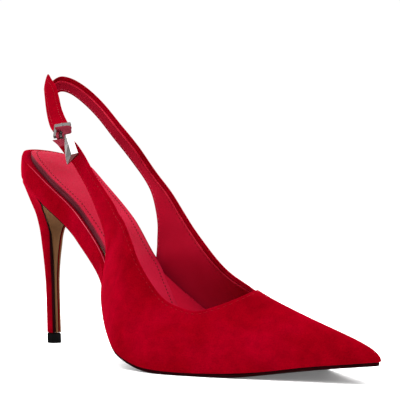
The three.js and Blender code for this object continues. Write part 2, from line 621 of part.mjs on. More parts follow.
const rectangle = (path, inset, topInset) => {
  path.moveTo(inset, BAR / 2 - topInset);
  path.lineTo(inset, BAR / 2 - BUCKLE_L + inset);
  path.lineTo(BUCKLE_W - inset, BAR / 2 - BUCKLE_L + inset);
  path.lineTo(BUCKLE_W - inset, BAR / 2 - topInset);
  path.closePath();
  return path;
};
const frameShape = rectangle(new THREE.Shape(), 0, 0);
frameShape.holes.push(rectangle(new THREE.Path(), BAR, TOP_BAR));
const frameBody = new THREE.ExtrudeGeometry(frameShape, { depth: BUCKLE_T, bevelEnabled: false });
add('buckle_frame', placeBuckle(frameBody.translate(0, 0, -BUCKLE_T / 2)), CHROME);

// Pivot line of the frame: the middle of its lower bar.
const PIVOT_L = BUCKLE_L - BAR;
const sleeve = (from, to, inner, outer) => {
  const profile = [[inner, from], [outer, from], [outer, to], [inner, to], [inner, from]];
  const turned = new THREE.LatheGeometry(profile.map(([r, h]) => new THREE.Vector2(r, h)), 20);
  return placeBuckle(turned.rotateZ(-Math.PI / 2).translate(0, -PIVOT_L, 0));
};
const EYE_R = 1.7;
const LOOP_R = 1.75;
const BAR_ROOM = 1.08;                          // radius that clears the bar's corners
const side = BAR + 0.3;
const slot = [BUCKLE_W / 2 - 0.8, BUCKLE_W / 2 + 0.8];
add('buckle_loop_outer', sleeve(side, slot[0], BAR_ROOM, LOOP_R), SUEDE);
add('buckle_loop_inner', sleeve(slot[1], BUCKLE_W - side, BAR_ROOM, LOOP_R), SUEDE);

const PRONG_R = 0.45;
const prongRise = BUCKLE_T / 2 + GAP + PRONG_R;
const prongEnds = [PIVOT_L - 1.3, 0.6].map(l => onBuckle(BUCKLE_W / 2, l, prongRise));
const eye = toSolid(sleeve(slot[0] + 0.3, slot[1] - 0.3, BAR_ROOM, EYE_R));
add('buckle_prong', fromSolid(eye.add(toSolid(rod(...prongEnds, PRONG_R, 12)))), CHROME);

// ---- Metal tip: narrow at the tail, widening to an oblique point, with a bevel down one side ----
const tipDown = V(0.47, 0, -0.88).normalize();
const tipAcross = V(0.62, 0.77, 0.12);
tipAcross.addScaledVector(tipDown, -tipAcross.dot(tipDown)).normalize();
const tipFace = tipDown.clone().cross(tipAcross).normalize();
const tipRidge = V(-42.9, -25.6, 101);          // top of the ridge between the bevel and the face
const onTip = (w, l, n) => tipRidge.clone().addScaledVector(tipAcross, w).addScaledVector(tipDown, l)
  .addScaledVector(tipFace, n);
// [length, bevel edge, ridge, far edge, half thickness]
const TIP = [
  [0, -0.5, 0, 2.6, 0.9],
  [6, -1.9, 0, 2.8, 1.1],
  [12.4, -3, 0, 3.1, 1.1],
  [16.2, -3.1, -2.9, -2.6, 0.25],
];
add('strap_tip', loft(TIP.map(([l, left, ridge, right, h]) => [onTip(left, l, -h), onTip(left, l, -h * 0.5),
  onTip(ridge, l, h), onTip(right, l, h * 0.85), onTip(right, l, -h)])), CHROME);

// ---- Tail of the sling: behind the upper bar, through the frame, over the lower bar, into the tip ----
const tailRow = ([high, low, l, n]) => [onBuckle(high, l, n).toArray(), onBuckle(low, l, n).toArray()];
const TAIL = [
  ...[[5.7, 0.1, -0.9, -2.3], [5.9, 1.6, 1.4, -1.9], [5.8, 1.7, 3.3, -1.5], [5.8, 1.8, 5, 1.2],
    [7.2, 2.2, 7.2, 3.3]].map(tailRow),
  [onTip(3, -1.6, 0.6).toArray(), onTip(-1.4, -1.6, 0.6).toArray()],
  [onTip(2.6, -0.4, 0.6).toArray(), onTip(-0.5, -0.4, 0.6).toArray()],
];
// Room for the prong at rest and wherever it turns.
const pivot = onBuckle(0, PIVOT_L, 0);
const prongRoom = even(0, 24, 6).map(degrees => {
  const turn = new THREE.Quaternion().setFromAxisAngle(across, THREE.MathUtils.degToRad(degrees));
  const ends = prongEnds.map(p => p.clone().sub(pivot).applyQuaternion(turn).add(pivot));
  return rod(...ends, PRONG_R + 0.25, 12);
});
add('strap_tail', cut(band(TAIL, 0, 1.1, 0, 20), prongRoom), SUEDE);

// The origin goes to the middle of the base.
const box = new THREE.Box3().setFromObject(shoe);
const middle = box.getCenter(V(0, 0, 0));
for (const mesh of shoe.children) mesh.geometry.translate(-middle.x, -middle.y, -box.min.z);

export default shoe;
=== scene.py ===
import math

import bmesh
import bpy
import numpy as np
from mathutils import Matrix, Vector


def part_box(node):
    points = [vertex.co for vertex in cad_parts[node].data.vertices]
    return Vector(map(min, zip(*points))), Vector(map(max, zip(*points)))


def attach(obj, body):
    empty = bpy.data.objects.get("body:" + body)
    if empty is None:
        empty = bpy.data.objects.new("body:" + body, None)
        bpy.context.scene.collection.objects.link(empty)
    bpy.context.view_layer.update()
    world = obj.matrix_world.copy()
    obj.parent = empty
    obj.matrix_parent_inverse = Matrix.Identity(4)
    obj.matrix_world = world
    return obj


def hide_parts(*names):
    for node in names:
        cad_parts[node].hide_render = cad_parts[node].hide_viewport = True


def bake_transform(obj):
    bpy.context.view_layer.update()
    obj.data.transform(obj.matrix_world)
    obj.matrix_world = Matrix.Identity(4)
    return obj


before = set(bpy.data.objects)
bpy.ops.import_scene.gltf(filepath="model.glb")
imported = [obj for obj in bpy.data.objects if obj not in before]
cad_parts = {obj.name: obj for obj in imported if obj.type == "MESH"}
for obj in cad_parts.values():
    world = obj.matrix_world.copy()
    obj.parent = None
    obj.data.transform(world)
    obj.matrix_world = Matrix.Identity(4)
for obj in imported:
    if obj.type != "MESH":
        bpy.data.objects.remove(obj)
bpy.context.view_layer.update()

# Shapes are worked out in millimetres about the insole's own origin, then placed in the frame
# in metres.
MM = 0.001

# ---- Driving dimensions, as the CAD has them ----
HEEL_END = -109.0
TOE_END = 116.0
SEAT_ROUND = 24.0
TOE_ROUND = 4.0
SOLE_T = 1.4
WRAP_T = 0.8
SUEDE_T = 1.0
LINING_T = 0.7
LIFT_H = 5.0
BREAST_X = -79.0
WRAP_END_LATERAL = -20.5
WRAP_END_MEDIAL = -27.5
SCREW = (-95.0, 0.0)  # the heel screw ties the two origins together
MIN_HALF_WIDTH = 0.4
SEAM_RISE = 0.45  # the upper's foot lies this far above the top of the sole

screw_low, screw_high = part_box("heel_screw")
SHIFT = np.array([SCREW[0] - (screw_low[0] + screw_high[0]) / 2 / MM,
                  SCREW[1] - (screw_low[1] + screw_high[1]) / 2 / MM, 0.0])


def placed(points):
    """Millimetre points of the shape functions, in the frame, in metres."""
    return (np.asarray(points, float) - SHIFT) * MM


# ---- Profiles along the shoe ----
def curve(points):
    """Smooth curve through (x, value) points, level at peaks and troughs, clamped at its ends."""
    xs, ys = np.array(points, float).T
    rise = np.diff(ys) / np.diff(xs)
    gap = np.diff(xs)
    slopes = np.zeros(len(xs))
    slopes[0], slopes[-1] = rise[0], rise[-1]
    for i in range(1, len(xs) - 1):
        if rise[i - 1] * rise[i] > 0:
            slopes[i] = (rise[i - 1] * gap[i] + rise[i] * gap[i - 1]) / (gap[i - 1] + gap[i])

    def at(x):
        x = np.clip(x, xs[0], xs[-1])
        i = np.clip(np.searchsorted(xs, x) - 1, 0, len(xs) - 2)
        t = (x - xs[i]) / gap[i]
        s = 1 - t
        return ((1 + 2 * t) * s * s * ys[i] + t * s * s * gap[i] * slopes[i]
                + t * t * (3 - 2 * t) * ys[i + 1] - t * t * s * gap[i] * slopes[i + 1])
    return at


bed = curve([(-109, 98.8), (-96, 94.2), (-86, 88.8), (-72, 79.4), (-48, 62.6), (-24, 42), (0, 22),
             (22, 8.2), (44, 3.6), (66, 3.6), (92, 7.2), (116, 10.2)])
under = curve([(-109, 10), (-73, 9), (-20, 7), (10, 4.2), (34, 3.6), (66, 3.6), (116, 3.4)])
lateral_width = curve([(-109, 20.6), (-72, 20.2), (-48, 16.8), (-24, 18), (0, 31.8), (22, 40),
                       (44, 38.6), (66, 29.6), (92, 14.6), (106, 6.6), (116, 2.6)])
medial_width = curve([(-109, 20), (-72, 19.6), (-48, 18.6), (-24, 15.6), (0, 24.4), (22, 33.5),
                      (44, 36), (66, 29), (92, 15), (106, 7.2), (116, 2.8)])
centre = curve([(-109, 0), (40, 0), (80, 3), (116, 5.7)])


def smooth(t):
    """0 to 1 with level ends."""
    t = np.clip(t, 0, 1)
    return t * t * (3 - 2 * t)


def mix(a, b, t):
    return a + (b - a) * t


def layer(x, depth):
    """Height of a layer that lies depth above the insole, measured square to it."""
    slope = bed(x + 0.5) - bed(x - 0.5)
    return bed(x) + depth * np.hypot(1, slope)


def end_round(x, inset):
    """Share of the half width left at x, by the rounding of the heel end and the toe."""
    back = np.maximum((HEEL_END + inset + SEAT_ROUND - x) / SEAT_ROUND, 0)
    front = np.maximum((x - (TOE_END - inset - TOE_ROUND)) / TOE_ROUND, 0)
    return np.sqrt(np.maximum(1 - back ** 2, 0)) * np.sqrt(np.maximum(1 - front ** 2, 0))


def edge(x, inset, side):
    """Plan outline, pulled in by inset: side -1 is lateral, 1 is medial."""
    width = lateral_width(x) if side < 0 else medial_width(x)
    return centre(x) + side * np.maximum(width - inset, MIN_HALF_WIDTH) * end_round(x, inset)


def sole_top(x):
    """Depth of the outsole's upper face, measured from the insole's top."""
    return SOLE_T - under(x)


# ---- Mesh building ----
def mesh(name, points, faces, look, body="shoe", slot=None, stands_for=(), bent=False,
         smooth_faces=True):
    """A piece from millimetre points, riding on its body, or, when bent is set, left without a body.
    """
    data = bpy.data.meshes.new(name)
    data.from_pydata(placed(points).tolist(), [], faces)
    data.validate()
    data.polygons.foreach_set("use_smooth", [smooth_faces] * len(data.polygons))
    data.materials.append(look)
    piece = bpy.data.objects.new(name, data)
    bpy.context.scene.collection.objects.link(piece)
    if bent:
        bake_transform(piece)
    else:
        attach(piece, body)
    if stands_for:
        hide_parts(*stands_for)
    return piece


def loft_faces(rings, count):
    """Faces of a tube through rings of count points, closed by a cap at each end."""
    faces = []
    for i in range(rings - 1):
        for j in range(count):
            a, b = i * count + j, i * count + (j + 1) % count
            faces.append((a, b, b + count, a + count))
    faces.append(tuple(range(count - 1, -1, -1)))
    faces.append(tuple(range((rings - 1) * count, rings * count)))
    return faces


def outward(points, faces):
    """Faces turned so that the closed surface has a positive volume."""
    volume = 0.0
    for f in faces:
        a = points[f[0]]
        for k in range(1, len(f) - 1):
            volume += np.dot(a, np.cross(points[f[k]], points[f[k + 1]]))
    return faces if volume > 0 else [tuple(reversed(f)) for f in faces]


def loft(name, rings, look, **how):
    """A closed piece through rings of points, an array of shape (rings, points, 3)."""
    rings = np.asarray(rings, float)
    points = rings.reshape(-1, 3)
    faces = outward(points, loft_faces(len(rings), rings.shape[1]))
    return mesh(name, points, faces, look, **how)


def paint(piece, look, wanted):
    """Gives a second material to the faces that satisfy wanted."""
    piece.data.materials.append(look)
    for face in piece.data.polygons:
        if wanted(face):
            face.material_index = len(piece.data.materials) - 1


def catmull(points, t):
    """Centripetal Catmull-Rom through points, an array (n, 3), at t from 0 to n - 1."""
    points = np.asarray(points, float)
    ends = np.vstack([2 * points[0] - points[1], points, 2 * points[-1] - points[-2]])
    i = np.clip(np.floor(t).astype(int), 0, len(points) - 2)
    f = (t - i)[:, None]
    p = [ends[i + k] for k in range(4)]
    spans = [np.linalg.norm(p[k + 1] - p[k], axis=1, keepdims=True) for k in range(3)]
    gaps = [np.maximum(span, 1e-6) ** 0.5 for span in spans]
    t1 = gaps[0]
    t2, t3 = t1 + gaps[1], t1 + gaps[1] + gaps[2]
    at = t1 + f * gaps[1]
    a1 = (t1 - at) / t1 * p[0] + at / t1 * p[1]
    a2 = (t2 - at) / gaps[1] * p[1] + (at - t1) / gaps[1] * p[2]
    a3 = (t3 - at) / gaps[2] * p[2] + (at - t2) / gaps[2] * p[3]
    b1 = (t2 - at) / t2 * a1 + at / t2 * a2
    b2 = (t3 - at) / (t3 - t1) * a2 + (at - t1) / (t3 - t1) * a3
    return (t2 - at) / gaps[1] * b1 + (at - t1) / gaps[1] * b2


def unit(v):
    return v / np.maximum(np.linalg.norm(v, axis=-1, keepdims=True), 1e-9)


# ---- Looks: node materials ----
# Scales of the noises, in features per metre.
NAP_CLOUDS, NAP_STREAKS, NAP_FIBRES = 42, 240, 2600
NAP_LUMPS, NAP_POINTS = 150, 3600
DYE_CLOUDS, POLISH, CREASES = 60, 240, 320
HAIRLINES, WAVES = 1400, 260
TWIST = 5200
# Sockets of a colour Mix node.
MIX_A, MIX_B, MIX_RESULT = 6, 7, 2


def material(name, base, roughness, metallic=0.0):
    """A principled material with its shader sockets set: (material, nodes, links, shader)."""
    made = bpy.data.materials.new(name)
    made.use_nodes = True
    nodes, links = made.node_tree.nodes, made.node_tree.links
    shader = nodes["Principled BSDF"]
    shader.inputs["Base Color"].default_value = (*base, 1)
    shader.inputs["Roughness"].default_value = roughness
    shader.inputs["Metallic"].default_value = metallic
    return made, nodes, links, shader


def noise(nodes, links, scale, detail=3.0, stretch=None):
    """Noise in the frame's own metres. stretch squeezes it along each axis."""
    place = nodes.new("ShaderNodeTexCoord")
    source = place.outputs["Object"]
    if stretch:
        turn = nodes.new("ShaderNodeMapping")
        turn.inputs["Scale"].default_value = stretch
        links.new(source, turn.inputs["Vector"])
        source = turn.outputs["Vector"]
    made = nodes.new("ShaderNodeTexNoise")
    made.inputs["Scale"].default_value = scale
    made.inputs["Detail"].default_value = detail
    links.new(source, made.inputs["Vector"])
    return made.outputs["Fac"]


def cells(nodes, links, scale):
    """Distance to the nearest edge in a pattern of cells, as leather grain has."""
    place = nodes.new("ShaderNodeTexCoord")
    made = nodes.new("ShaderNodeTexVoronoi")
    made.feature = "DISTANCE_TO_EDGE"
    made.inputs["Scale"].default_value = scale
    links.new(place.outputs["Object"], made.inputs["Vector"])
    return made.outputs["Distance"]


def ramp(nodes, links, source, stops):
    """Colour by value, from (position, colour) stops."""
    made = nodes.new("ShaderNodeValToRGB")
    links.new(source, made.inputs["Fac"])
    while len(made.color_ramp.elements) < len(stops):
        made.color_ramp.elements.new(0.5)
    for element, (at, colour) in zip(made.color_ramp.elements, stops):
        element.position = at
        element.color = (*colour, 1)
    return made.outputs["Color"]


def multiply(nodes, links, a, b):
    """Product of two colours."""
    made = nodes.new("ShaderNodeMix")
    made.data_type = "RGBA"
    made.blend_type = "MULTIPLY"
    made.inputs["Factor"].default_value = 1.0
    links.new(a, made.inputs[MIX_A])
    links.new(b, made.inputs[MIX_B])
    return made.outputs[MIX_RESULT]


def bump(nodes, links, shader, layers):
    """Bump layers as (height output, strength, distance in metres), one on top of another."""
    normal = None
    for height, strength, distance in layers:
        made = nodes.new("ShaderNodeBump")
        made.inputs["Strength"].default_value = strength
        made.inputs["Distance"].default_value = distance
        links.new(height, made.inputs["Height"])
        if normal:
            links.new(normal, made.inputs["Normal"])
        normal = made.outputs["Normal"]
    links.new(normal, shader.inputs["Normal"])


def vary_roughness(nodes, links, shader, source, low, high):
    """Roughness from low to high as source goes from 0 to 1."""
    spread = nodes.new("ShaderNodeMapRange")
    spread.inputs["To Min"].default_value = low
    spread.inputs["To Max"].default_value = high
    links.new(source, spread.inputs["Value"])
    links.new(spread.outputs["Result"], shader.inputs["Roughness"])


def suede_look(name, dark, mid, light, sheen=0.22):
    """Short velvety nap: mottled where the nap lies different ways, speckled by the fibre ends."""
    made, nodes, links, shader = material(name, mid, 0.95)
    clouds = noise(nodes, links, NAP_CLOUDS, 3)
    lie = ramp(nodes, links, clouds, [(0.3, dark), (0.5, mid), (0.72, light)])
    streaks = noise(nodes, links, NAP_STREAKS, 4)
    streak = ramp(nodes, links, streaks, [(0.3, (0.86,) * 3), (0.7, (1.1,) * 3)])
    fibres = noise(nodes, links, NAP_FIBRES, 4)
    fibre = ramp(nodes, links, fibres, [(0.3, (0.74,) * 3), (0.62, (1.12,) * 3)])
    brushed = multiply(nodes, links, lie, streak)
    links.new(multiply(nodes, links, brushed, fibre), shader.inputs["Base Color"])
    shader.inputs["Sheen Weight"].default_value = sheen
    shader.inputs["Sheen Roughness"].default_value = 0.4
    shader.inputs["Sheen Tint"].default_value = (1, 0.012, 0.07, 1)
    shader.inputs["Specular IOR Level"].default_value = 0.0
    bump(nodes, links, shader, [(noise(nodes, links, NAP_LUMPS, 3), 0.15, 0.0004),
                                (noise(nodes, links, NAP_POINTS, 2), 0.35, 0.00004)])
    return made


def leather_look(name, dark, light, roughness, grain=1300, depth=0.00003, gloss=0.3):
    """Smooth dyed leather: fine pebbled grain, faint creases and uneven polish."""
    made, nodes, links, shader = material(name, light, roughness)
    cloud = ramp(nodes, links, noise(nodes, links, DYE_CLOUDS, 4), [(0.3, dark), (0.7, light)])
    links.new(cloud, shader.inputs["Base Color"])
    polish = noise(nodes, links, POLISH, 3)
    vary_roughness(nodes, links, shader, polish, roughness - 0.1, roughness + 0.12)
    shader.inputs["Specular IOR Level"].default_value = gloss
    bump(nodes, links, shader, [(noise(nodes, links, CREASES, 3, (1, 3, 1)), 0.07, 0.0001),
                                (cells(nodes, links, grain), 0.18, depth)])
    return made


def painted_shade_above(look, low, high, share):
    """Paints shade onto a material, deepening between two heights in metres: the shade that falls on
    the lining of the narrow straps.
    """
    nodes, links = look.node_tree.nodes, look.node_tree.links
    shader = nodes["Principled BSDF"]
    colour = shader.inputs["Base Color"].links[0].from_socket
    height = nodes.new("ShaderNodeSeparateXYZ")
    links.new(nodes.new("ShaderNodeTexCoord").outputs["Object"], height.inputs["Vector"])
    spread = nodes.new("ShaderNodeMapRange")
    spread.inputs["From Min"].default_value = low
    spread.inputs["From Max"].default_value = high
    links.new(height.outputs["Z"], spread.inputs["Value"])
    shade = ramp(nodes, links, spread.outputs["Result"], [(0, (1, 1, 1)), (1, (share,) * 3)])
    links.new(multiply(nodes, links, colour, shade), shader.inputs["Base Color"])


def metal_look(name, base, roughness):
    """Polished plating with faint hairlines and a slightly wavy surface."""
    made, nodes, links, shader = material(name, base, roughness, 1.0)
    hairlines = noise(nodes, links, HAIRLINES, 4, (1, 1, 0.15))
    vary_roughness(nodes, links, shader, hairlines, roughness - 0.05, roughness + 0.12)
    bump(nodes, links, shader, [(noise(nodes, links, WAVES, 2), 0.05, 0.0002)])
    return made


def thread_look(name, base):
    """Twisted sewing thread."""
    made, nodes, links, shader = material(name, base, 0.6)
    shaded = tuple(c * 0.55 for c in base)
    twist = ramp(nodes, links, noise(nodes, links, TWIST, 2), [(0.35, shaded), (0.65, base)])
    links.new(twist, shader.inputs["Base Color"])
    shader.inputs["Specular IOR Level"].default_value = 0.05
    return made


SUEDE = suede_look("suede", (0.12, 0.0, 0.002), (0.153, 0.0, 0.003), (0.197, 0.0, 0.006))
# A lighter copy of the suede: painted highlight, for the line along the lining's top edge.
EDGE_HIGHLIGHT_SUEDE = suede_look("edge_painted_highlight", (0.26, 0.004, 0.014), (0.32, 0.008, 0.022), (0.40, 0.016, 0.035))
# A lighter, mauve copy of the suede: painted highlight, for the line on the rim.
RIM_HIGHLIGHT = suede_look("rim_painted_highlight", (0.28, 0.016, 0.035), (0.36, 0.03, 0.055), (0.46, 0.06, 0.09))
# A lighter, pinker copy of the suede: painted highlight on the strap's end at the buckle and on its
# loops.
STRAP_HIGHLIGHT_SUEDE = suede_look("strap_painted_highlight", (0.15, 0.012, 0.022), (0.22, 0.024, 0.04), (0.32, 0.06, 0.08),
                   0.25)
LINING = leather_look("lining", (0.265, 0.002, 0.013), (0.32, 0.004, 0.019), 0.7, gloss=0.01)
# Painted shade on the lining above 65 mm, on the insides of the straps.
painted_shade_above(LINING, 0.065, 0.1, 0.62)
SOCK = leather_look("sock", (0.235, 0.003, 0.015), (0.285, 0.006, 0.023), 0.6, gloss=0.01)
# Dark brown for the padding's side, deepened by painted shade of the gap under the sock; also painted
# shade on the sock's rolled sides.
PAD_EDGE_SHADE = leather_look("pad_edge_painted_shade", (0.06, 0.006, 0.011), (0.10, 0.014, 0.022), 0.7, gloss=0.05)
# Near black brown: painted shade on the sole's underside, close to the floor.
SOLE = leather_look("sole", (0.012, 0.006, 0.005), (0.024, 0.011, 0.008), 0.7, grain=900,
                    gloss=0.02)
# Near black, for the sole's edge; also painted shade on the heel's lateral corner.
SOLE_EDGE = leather_look("sole_edge", (0.007, 0.001, 0.001), (0.016, 0.002, 0.003), 0.8, grain=900,
                         gloss=0.0)
BREAST = leather_look("breast", (0.085, 0.036, 0.014), (0.125, 0.056, 0.023), 0.65, grain=900,
                      gloss=0.05)
LIFT = leather_look("lift", (0.003, 0.003, 0.003), (0.007, 0.0065, 0.007), 0.7, grain=2400,
                    depth=0.00002, gloss=0.0)
BRIGHT = metal_look("bright_metal", (0.62, 0.6, 0.59), 0.24)
DARK_METAL = metal_look("dark_metal", (0.055, 0.05, 0.048), 0.36)
# Darker copy of the tip's metal: painted shade on its side bevel and back.
TIP_SIDE_SHADE = metal_look("tip_painted_shade", (0.14, 0.13, 0.128), 0.32)
# Reddish copy of the tip's metal: painted reflection of the strap on its end bevel.
TIP_STRAP_REFLECTION = metal_look("metal_reflecting_strap", (0.16, 0.05, 0.05), 0.3)
STEEL = metal_look("steel", (0.4, 0.4, 0.41), 0.35)
BOARD = leather_look("leatherboard", (0.20, 0.13, 0.075), (0.30, 0.2, 0.12), 0.8, grain=700)
CORK = leather_look("cork", (0.16, 0.08, 0.035), (0.32, 0.19, 0.1), 0.85, grain=500)
PLASTIC = leather_look("heel_plastic", (0.02, 0.012, 0.01), (0.03, 0.018, 0.014), 0.5, grain=3000,
                       gloss=0.05)
# A darker copy of the suede with a mauve tint: painted shade under the frame and painted sheen, for
# the strap's tail.
TAIL_SHADE_AND_SHEEN = suede_look("tail_painted_shade_and_sheen", (0.085, 0.008, 0.014), (0.125, 0.014, 0.024),
                       (0.19, 0.035, 0.05), 0.1)
THREAD = thread_look("thread", (0.26, 0.0, 0.006))
PALE_THREAD = thread_look("pale_thread", (0.42, 0.04, 0.08))
SOCK_THREAD = thread_look("sock_thread", (0.13, 0.001, 0.006))


# ---- Upper and straps: one skin, from the buckle strap round the toe and the heel to the buckle
# Rows are (topline or front edge, foot). A foot is an x on the feather edge, or a point on a
# back edge.
BUCKLE_STRAP = [
    ((-43.5, -23.3, 98.9), (-48.2, -28.8, 98)),
    ((-41.4, -22.1, 97.3), (-46.6, -27, 95.8)),
    ((-39.6, -20.6, 94.4), (-45.6, -24, 92)),
    ((-36.4, -20, 90.6), (-42.4, -21.4, 87.2)),
    ((-32.2, -20, 86), (-37.8, -20.3, 81.2)),
]
LATERAL_RIBS = [
    ((-27, -20.3, 80.9), (-32.1, -20.2, 75)),
    ((-18.5, -21, 74), (-24, -20.2, 64.5)),
    ((-9.8, -22.2, 67.5), (-17, -20.4, 53)),
    ((-4.2, -23.3, 62.8), (-15.6, -20.8, 44)),
    ((0.9, -24.3, 59.2), -18),
    ((9.4, -25.5, 50.2), -6),
    ((15.2, -26, 42.8), 8),
    ((22.2, -26, 35.5), 20),
    ((32.3, -26, 27.8), 34),
    ((39.4, -25.2, 25), 46),
    ((48.5, -22.3, 23.2), 62),
    ((54.2, -17.4, 25), 78),
    ((58, -11, 27.7), 95),
    ((59.8, -4.8, 30.2), 109),
]
TOE_RIB = ((59.4, -0.5, 31.3), TOE_END)
MEDIAL_RIBS = [
    ((57, 2.9, 31.4), 109),
    ((53, 6.6, 31.2), 96),
    ((48, 10.8, 30.8), 80),
    ((42.5, 15, 30.8), 66),
    ((35.5, 18.8, 32), 51),
    ((28.2, 21, 34), 37),
    ((21.5, 22, 36.4), 23),
    ((15, 22.6, 39.6), 9),
    ((8, 22.7, 44.4), -6),
    ((1, 22.2, 50.6), -23.5),
    ((-5.5, 21.4, 57.4), (-26, 16.9, 51)),
    ((-12, 20.6, 65), (-26, 16.7, 60.5)),
    ((-20, 19.4, 74.8), (-30.2, 17, 72.4)),
    ((-30.3, 18, 85), (-36, 17.6, 79.9)),
]
SLING = [
    ((-43.5, 17, 98.2), (-48.8, 16.6, 92.8)),
    ((-57, 15, 110.9), (-61.8, 14.8, 105)),
    ((-68.6, 12, 122.8), (-72.8, 12.2, 116.4)),
    ((-78.6, 8, 131.7), (-82.4, 9, 125)),
    ((-86.4, 4.6, 136.5), (-89.5, 6, 130)),
    ((-92.6, 2.4, 138.2), (-95, 4, 131.6)),
    ((-96.2, 1, 137.4), (-97.8, 2.2, 130.8)),
    ((-98.4, -1.4, 135.4), (-99.2, -1.2, 130.4)),
    ((-96.6, -4.2, 139), (-98.4, -4.6, 131.6)),
    ((-91, -5.6, 135.6), (-93.8, -7.4, 129.8)),
    ((-84.4, -6.9, 130.9), (-88.8, -9.8, 125.4)),
    ((-77.4, -9.3, 124.4), (-82, -13, 119.1)),
    ((-69.2, -12.6, 117.2), (-73.9, -16.6, 112.7)),
    ((-59.8, -15.8, 110.7), (-64.9, -20.4, 107.2)),
    ((-52.6, -18, 106.6), (-57.6, -23, 103.9)),
]
WALL_BULGE = 2.3  # how far the wall swells out, at the ball
BACK_SWELL = 0.8  # and on the quarters' free back edges
OVERLAP = 0.5  # the foot stands this proud of the rim at the waist


def rib_points(top, foot, side, strap):
    """Four control points of a row: edge, upper swell, wall above the foot, foot."""
    top = np.array(top, float)
    if isinstance(foot, tuple):
        foot = np.array(foot, float)
        swell = np.array((0, 0 if strap else np.sign(top[1]) * BACK_SWELL, 0))
        return [top, mix(top, foot, 1 / 3) + swell, mix(top, foot, 2 / 3) + swell, foot]
    proud = OVERLAP * (1 - smooth((foot + 20) / 40))
    x = min(foot, TOE_END - 0.02)
    y = centre(x) if side == 0 else edge(x, -proud, side)
    base = np.array((x, y, layer(x, sole_top(x) + SEAM_RISE)), float)
    front = smooth((foot - 50) / 65)  # 0 at the ball, 1 at the toe
    toe = smooth((foot - 80) / 30)  # the same, over the last of the toe
    swell = side * WALL_BULGE * (1 - front) * smooth((foot + 22) / 30)
    high = mix(top, base, mix(0.33, 0.3, front) + 0.3 * toe) + np.array((0, swell, 0))
    low = mix(top, base, mix(0.92, 0.955, front) + 0.03 * toe) + np.array((0, swell * 0.45, 0))
    low[2] = mix(base[2], top[2], mix(0.42, 0.3, front) - 0.03 * toe)
    return [top, high, low, base]


rows = ([rib_points(t, f, -1, True) for t, f in BUCKLE_STRAP]
        + [rib_points(t, f, -1, False) for t, f in LATERAL_RIBS]
        + [rib_points(*TOE_RIB, 0, False)]
        + [rib_points(t, f, 1, False) for t, f in MEDIAL_RIBS]
        + [rib_points(t, f, 1, True) for t, f in SLING])
guides = np.array(rows).transpose(1, 0, 2)
LAST_ROW = len(rows) - 1
FIRST_RIB = len(BUCKLE_STRAP)
TOE_ROW = FIRST_RIB + len(LATERAL_RIBS)
LAST_RIB = TOE_ROW + len(MEDIAL_RIBS)
STRAP_CROWN = 0.35
ROW_STEP, FOOT_STEP = 0.02, 0.004  # steps for slopes of the skin, along it and down it


def skin_point(u, v):
    """Outer face of the skin at row position u, v from 0 at the topline to 1 at the foot."""
    a, b, c, d = [catmull(g, u) for g in guides]
    v = v[:, None]
    s = 1 - v
    return a * s ** 3 + 3 * b * s * s * v + 3 * c * s * v * v + d * v ** 3


def skin(u, v):
    """(point, outward normal, downward direction) on the skin."""
    p = skin_point(u, v)
    ahead, behind = np.minimum(u + ROW_STEP, LAST_ROW), np.maximum(u - ROW_STEP, 0)
    along = skin_point(ahead, v) - skin_point(behind, v)
    down = skin_point(u, v + FOOT_STEP) - skin_point(u, v - FOOT_STEP)
    normal = -unit(np.cross(along, down))
    return p, normal, unit(down)


def on_strap(u):
    """1 on the straps, 0 on the quarters and vamp."""
    return np.maximum(smooth(FIRST_RIB - u), smooth(u - LAST_RIB))


EDGE_POINTS = 5  # on each half-round edge


def skin_loops(us, outer, thickness, top, foot, count):
    """Closed cross-sections of a layer of the skin, its edges turned over in a half round.

    The layer lies outer millimetres inside the skin, from top(u) to foot(u) down each row.
    """
    half = thickness / 2
    loops = []
    arc = np.linspace(0, math.pi, EDGE_POINTS + 2)[1:-1]
    for u in us:
        t, f = top(u), foot(u)
        v = t + (f - t) * (0.5 - 0.5 * np.cos(np.linspace(0.08, 1, count) * math.pi))
        v = np.concatenate([[t], v])
        p, n, down = skin(np.full(len(v), u), v)
        crown = STRAP_CROWN * on_strap(u) * (4 * v * (1 - v))[:, None]
        p = p + n * (crown - outer)
        q = p - n * thickness
        edge_top, edge_foot = [
            [p[k] - n[k] * half + half * (n[k] * math.cos(a) + way * down[k] * math.sin(a))
             for a in arc] for k, way in ((0, -1), (-1, 1))]
        loops.append(np.concatenate([p, edge_foot, q[::-1], edge_top[::-1]]))
    return np.array(loops)


def spread(first, last, per_row):
    """Row positions from first to last, per_row of them in each row."""
    return np.linspace(first, last, int(round((last - first) * per_row)) + 1)


def near_toe(u):
    """1 at the toe, fading over two rows."""
    return math.exp(-(((u - TOE_ROW) / 2.2) ** 2))


PROBES = 60


def v_at(u, distance, from_foot=False):
    """How far down a row a point lies that is distance millimetres from its topline or foot."""
    probe = np.linspace(0, 1, PROBES)
    p = skin_point(np.full(PROBES, float(u)), 1 - probe if from_foot else probe)
    run = np.concatenate([[0], np.cumsum(np.linalg.norm(np.diff(p, axis=0), axis=1))])
    v = np.interp(distance, run, probe)
    return 1 - v if from_foot else v


TURN_IN = 2.0  # suede folded over the topline onto the inside
AIR = 0.04  # between one layer and the next
UNDER_SUEDE = SUEDE_T + AIR
SKIN_T = SUEDE_T + LINING_T + AIR
WALL_POINTS = 26  # down the outer face of the suede
STRAP_LOOPS = 10  # cross-sections with the painted highlight, at the buckle
LOOP_POINTS = 2 * (WALL_POINTS + 1 + EDGE_POINTS)
upper = loft("upper_suede",
             skin_loops(spread(0, LAST_ROW, 8), 0.0, SUEDE_T, lambda u: 0.0, lambda u: 1.0,
                        WALL_POINTS),
             SUEDE, slot="suede", bent=True,
             stands_for=("vamp_and_quarters", "sling_strap", "buckle_strap"))
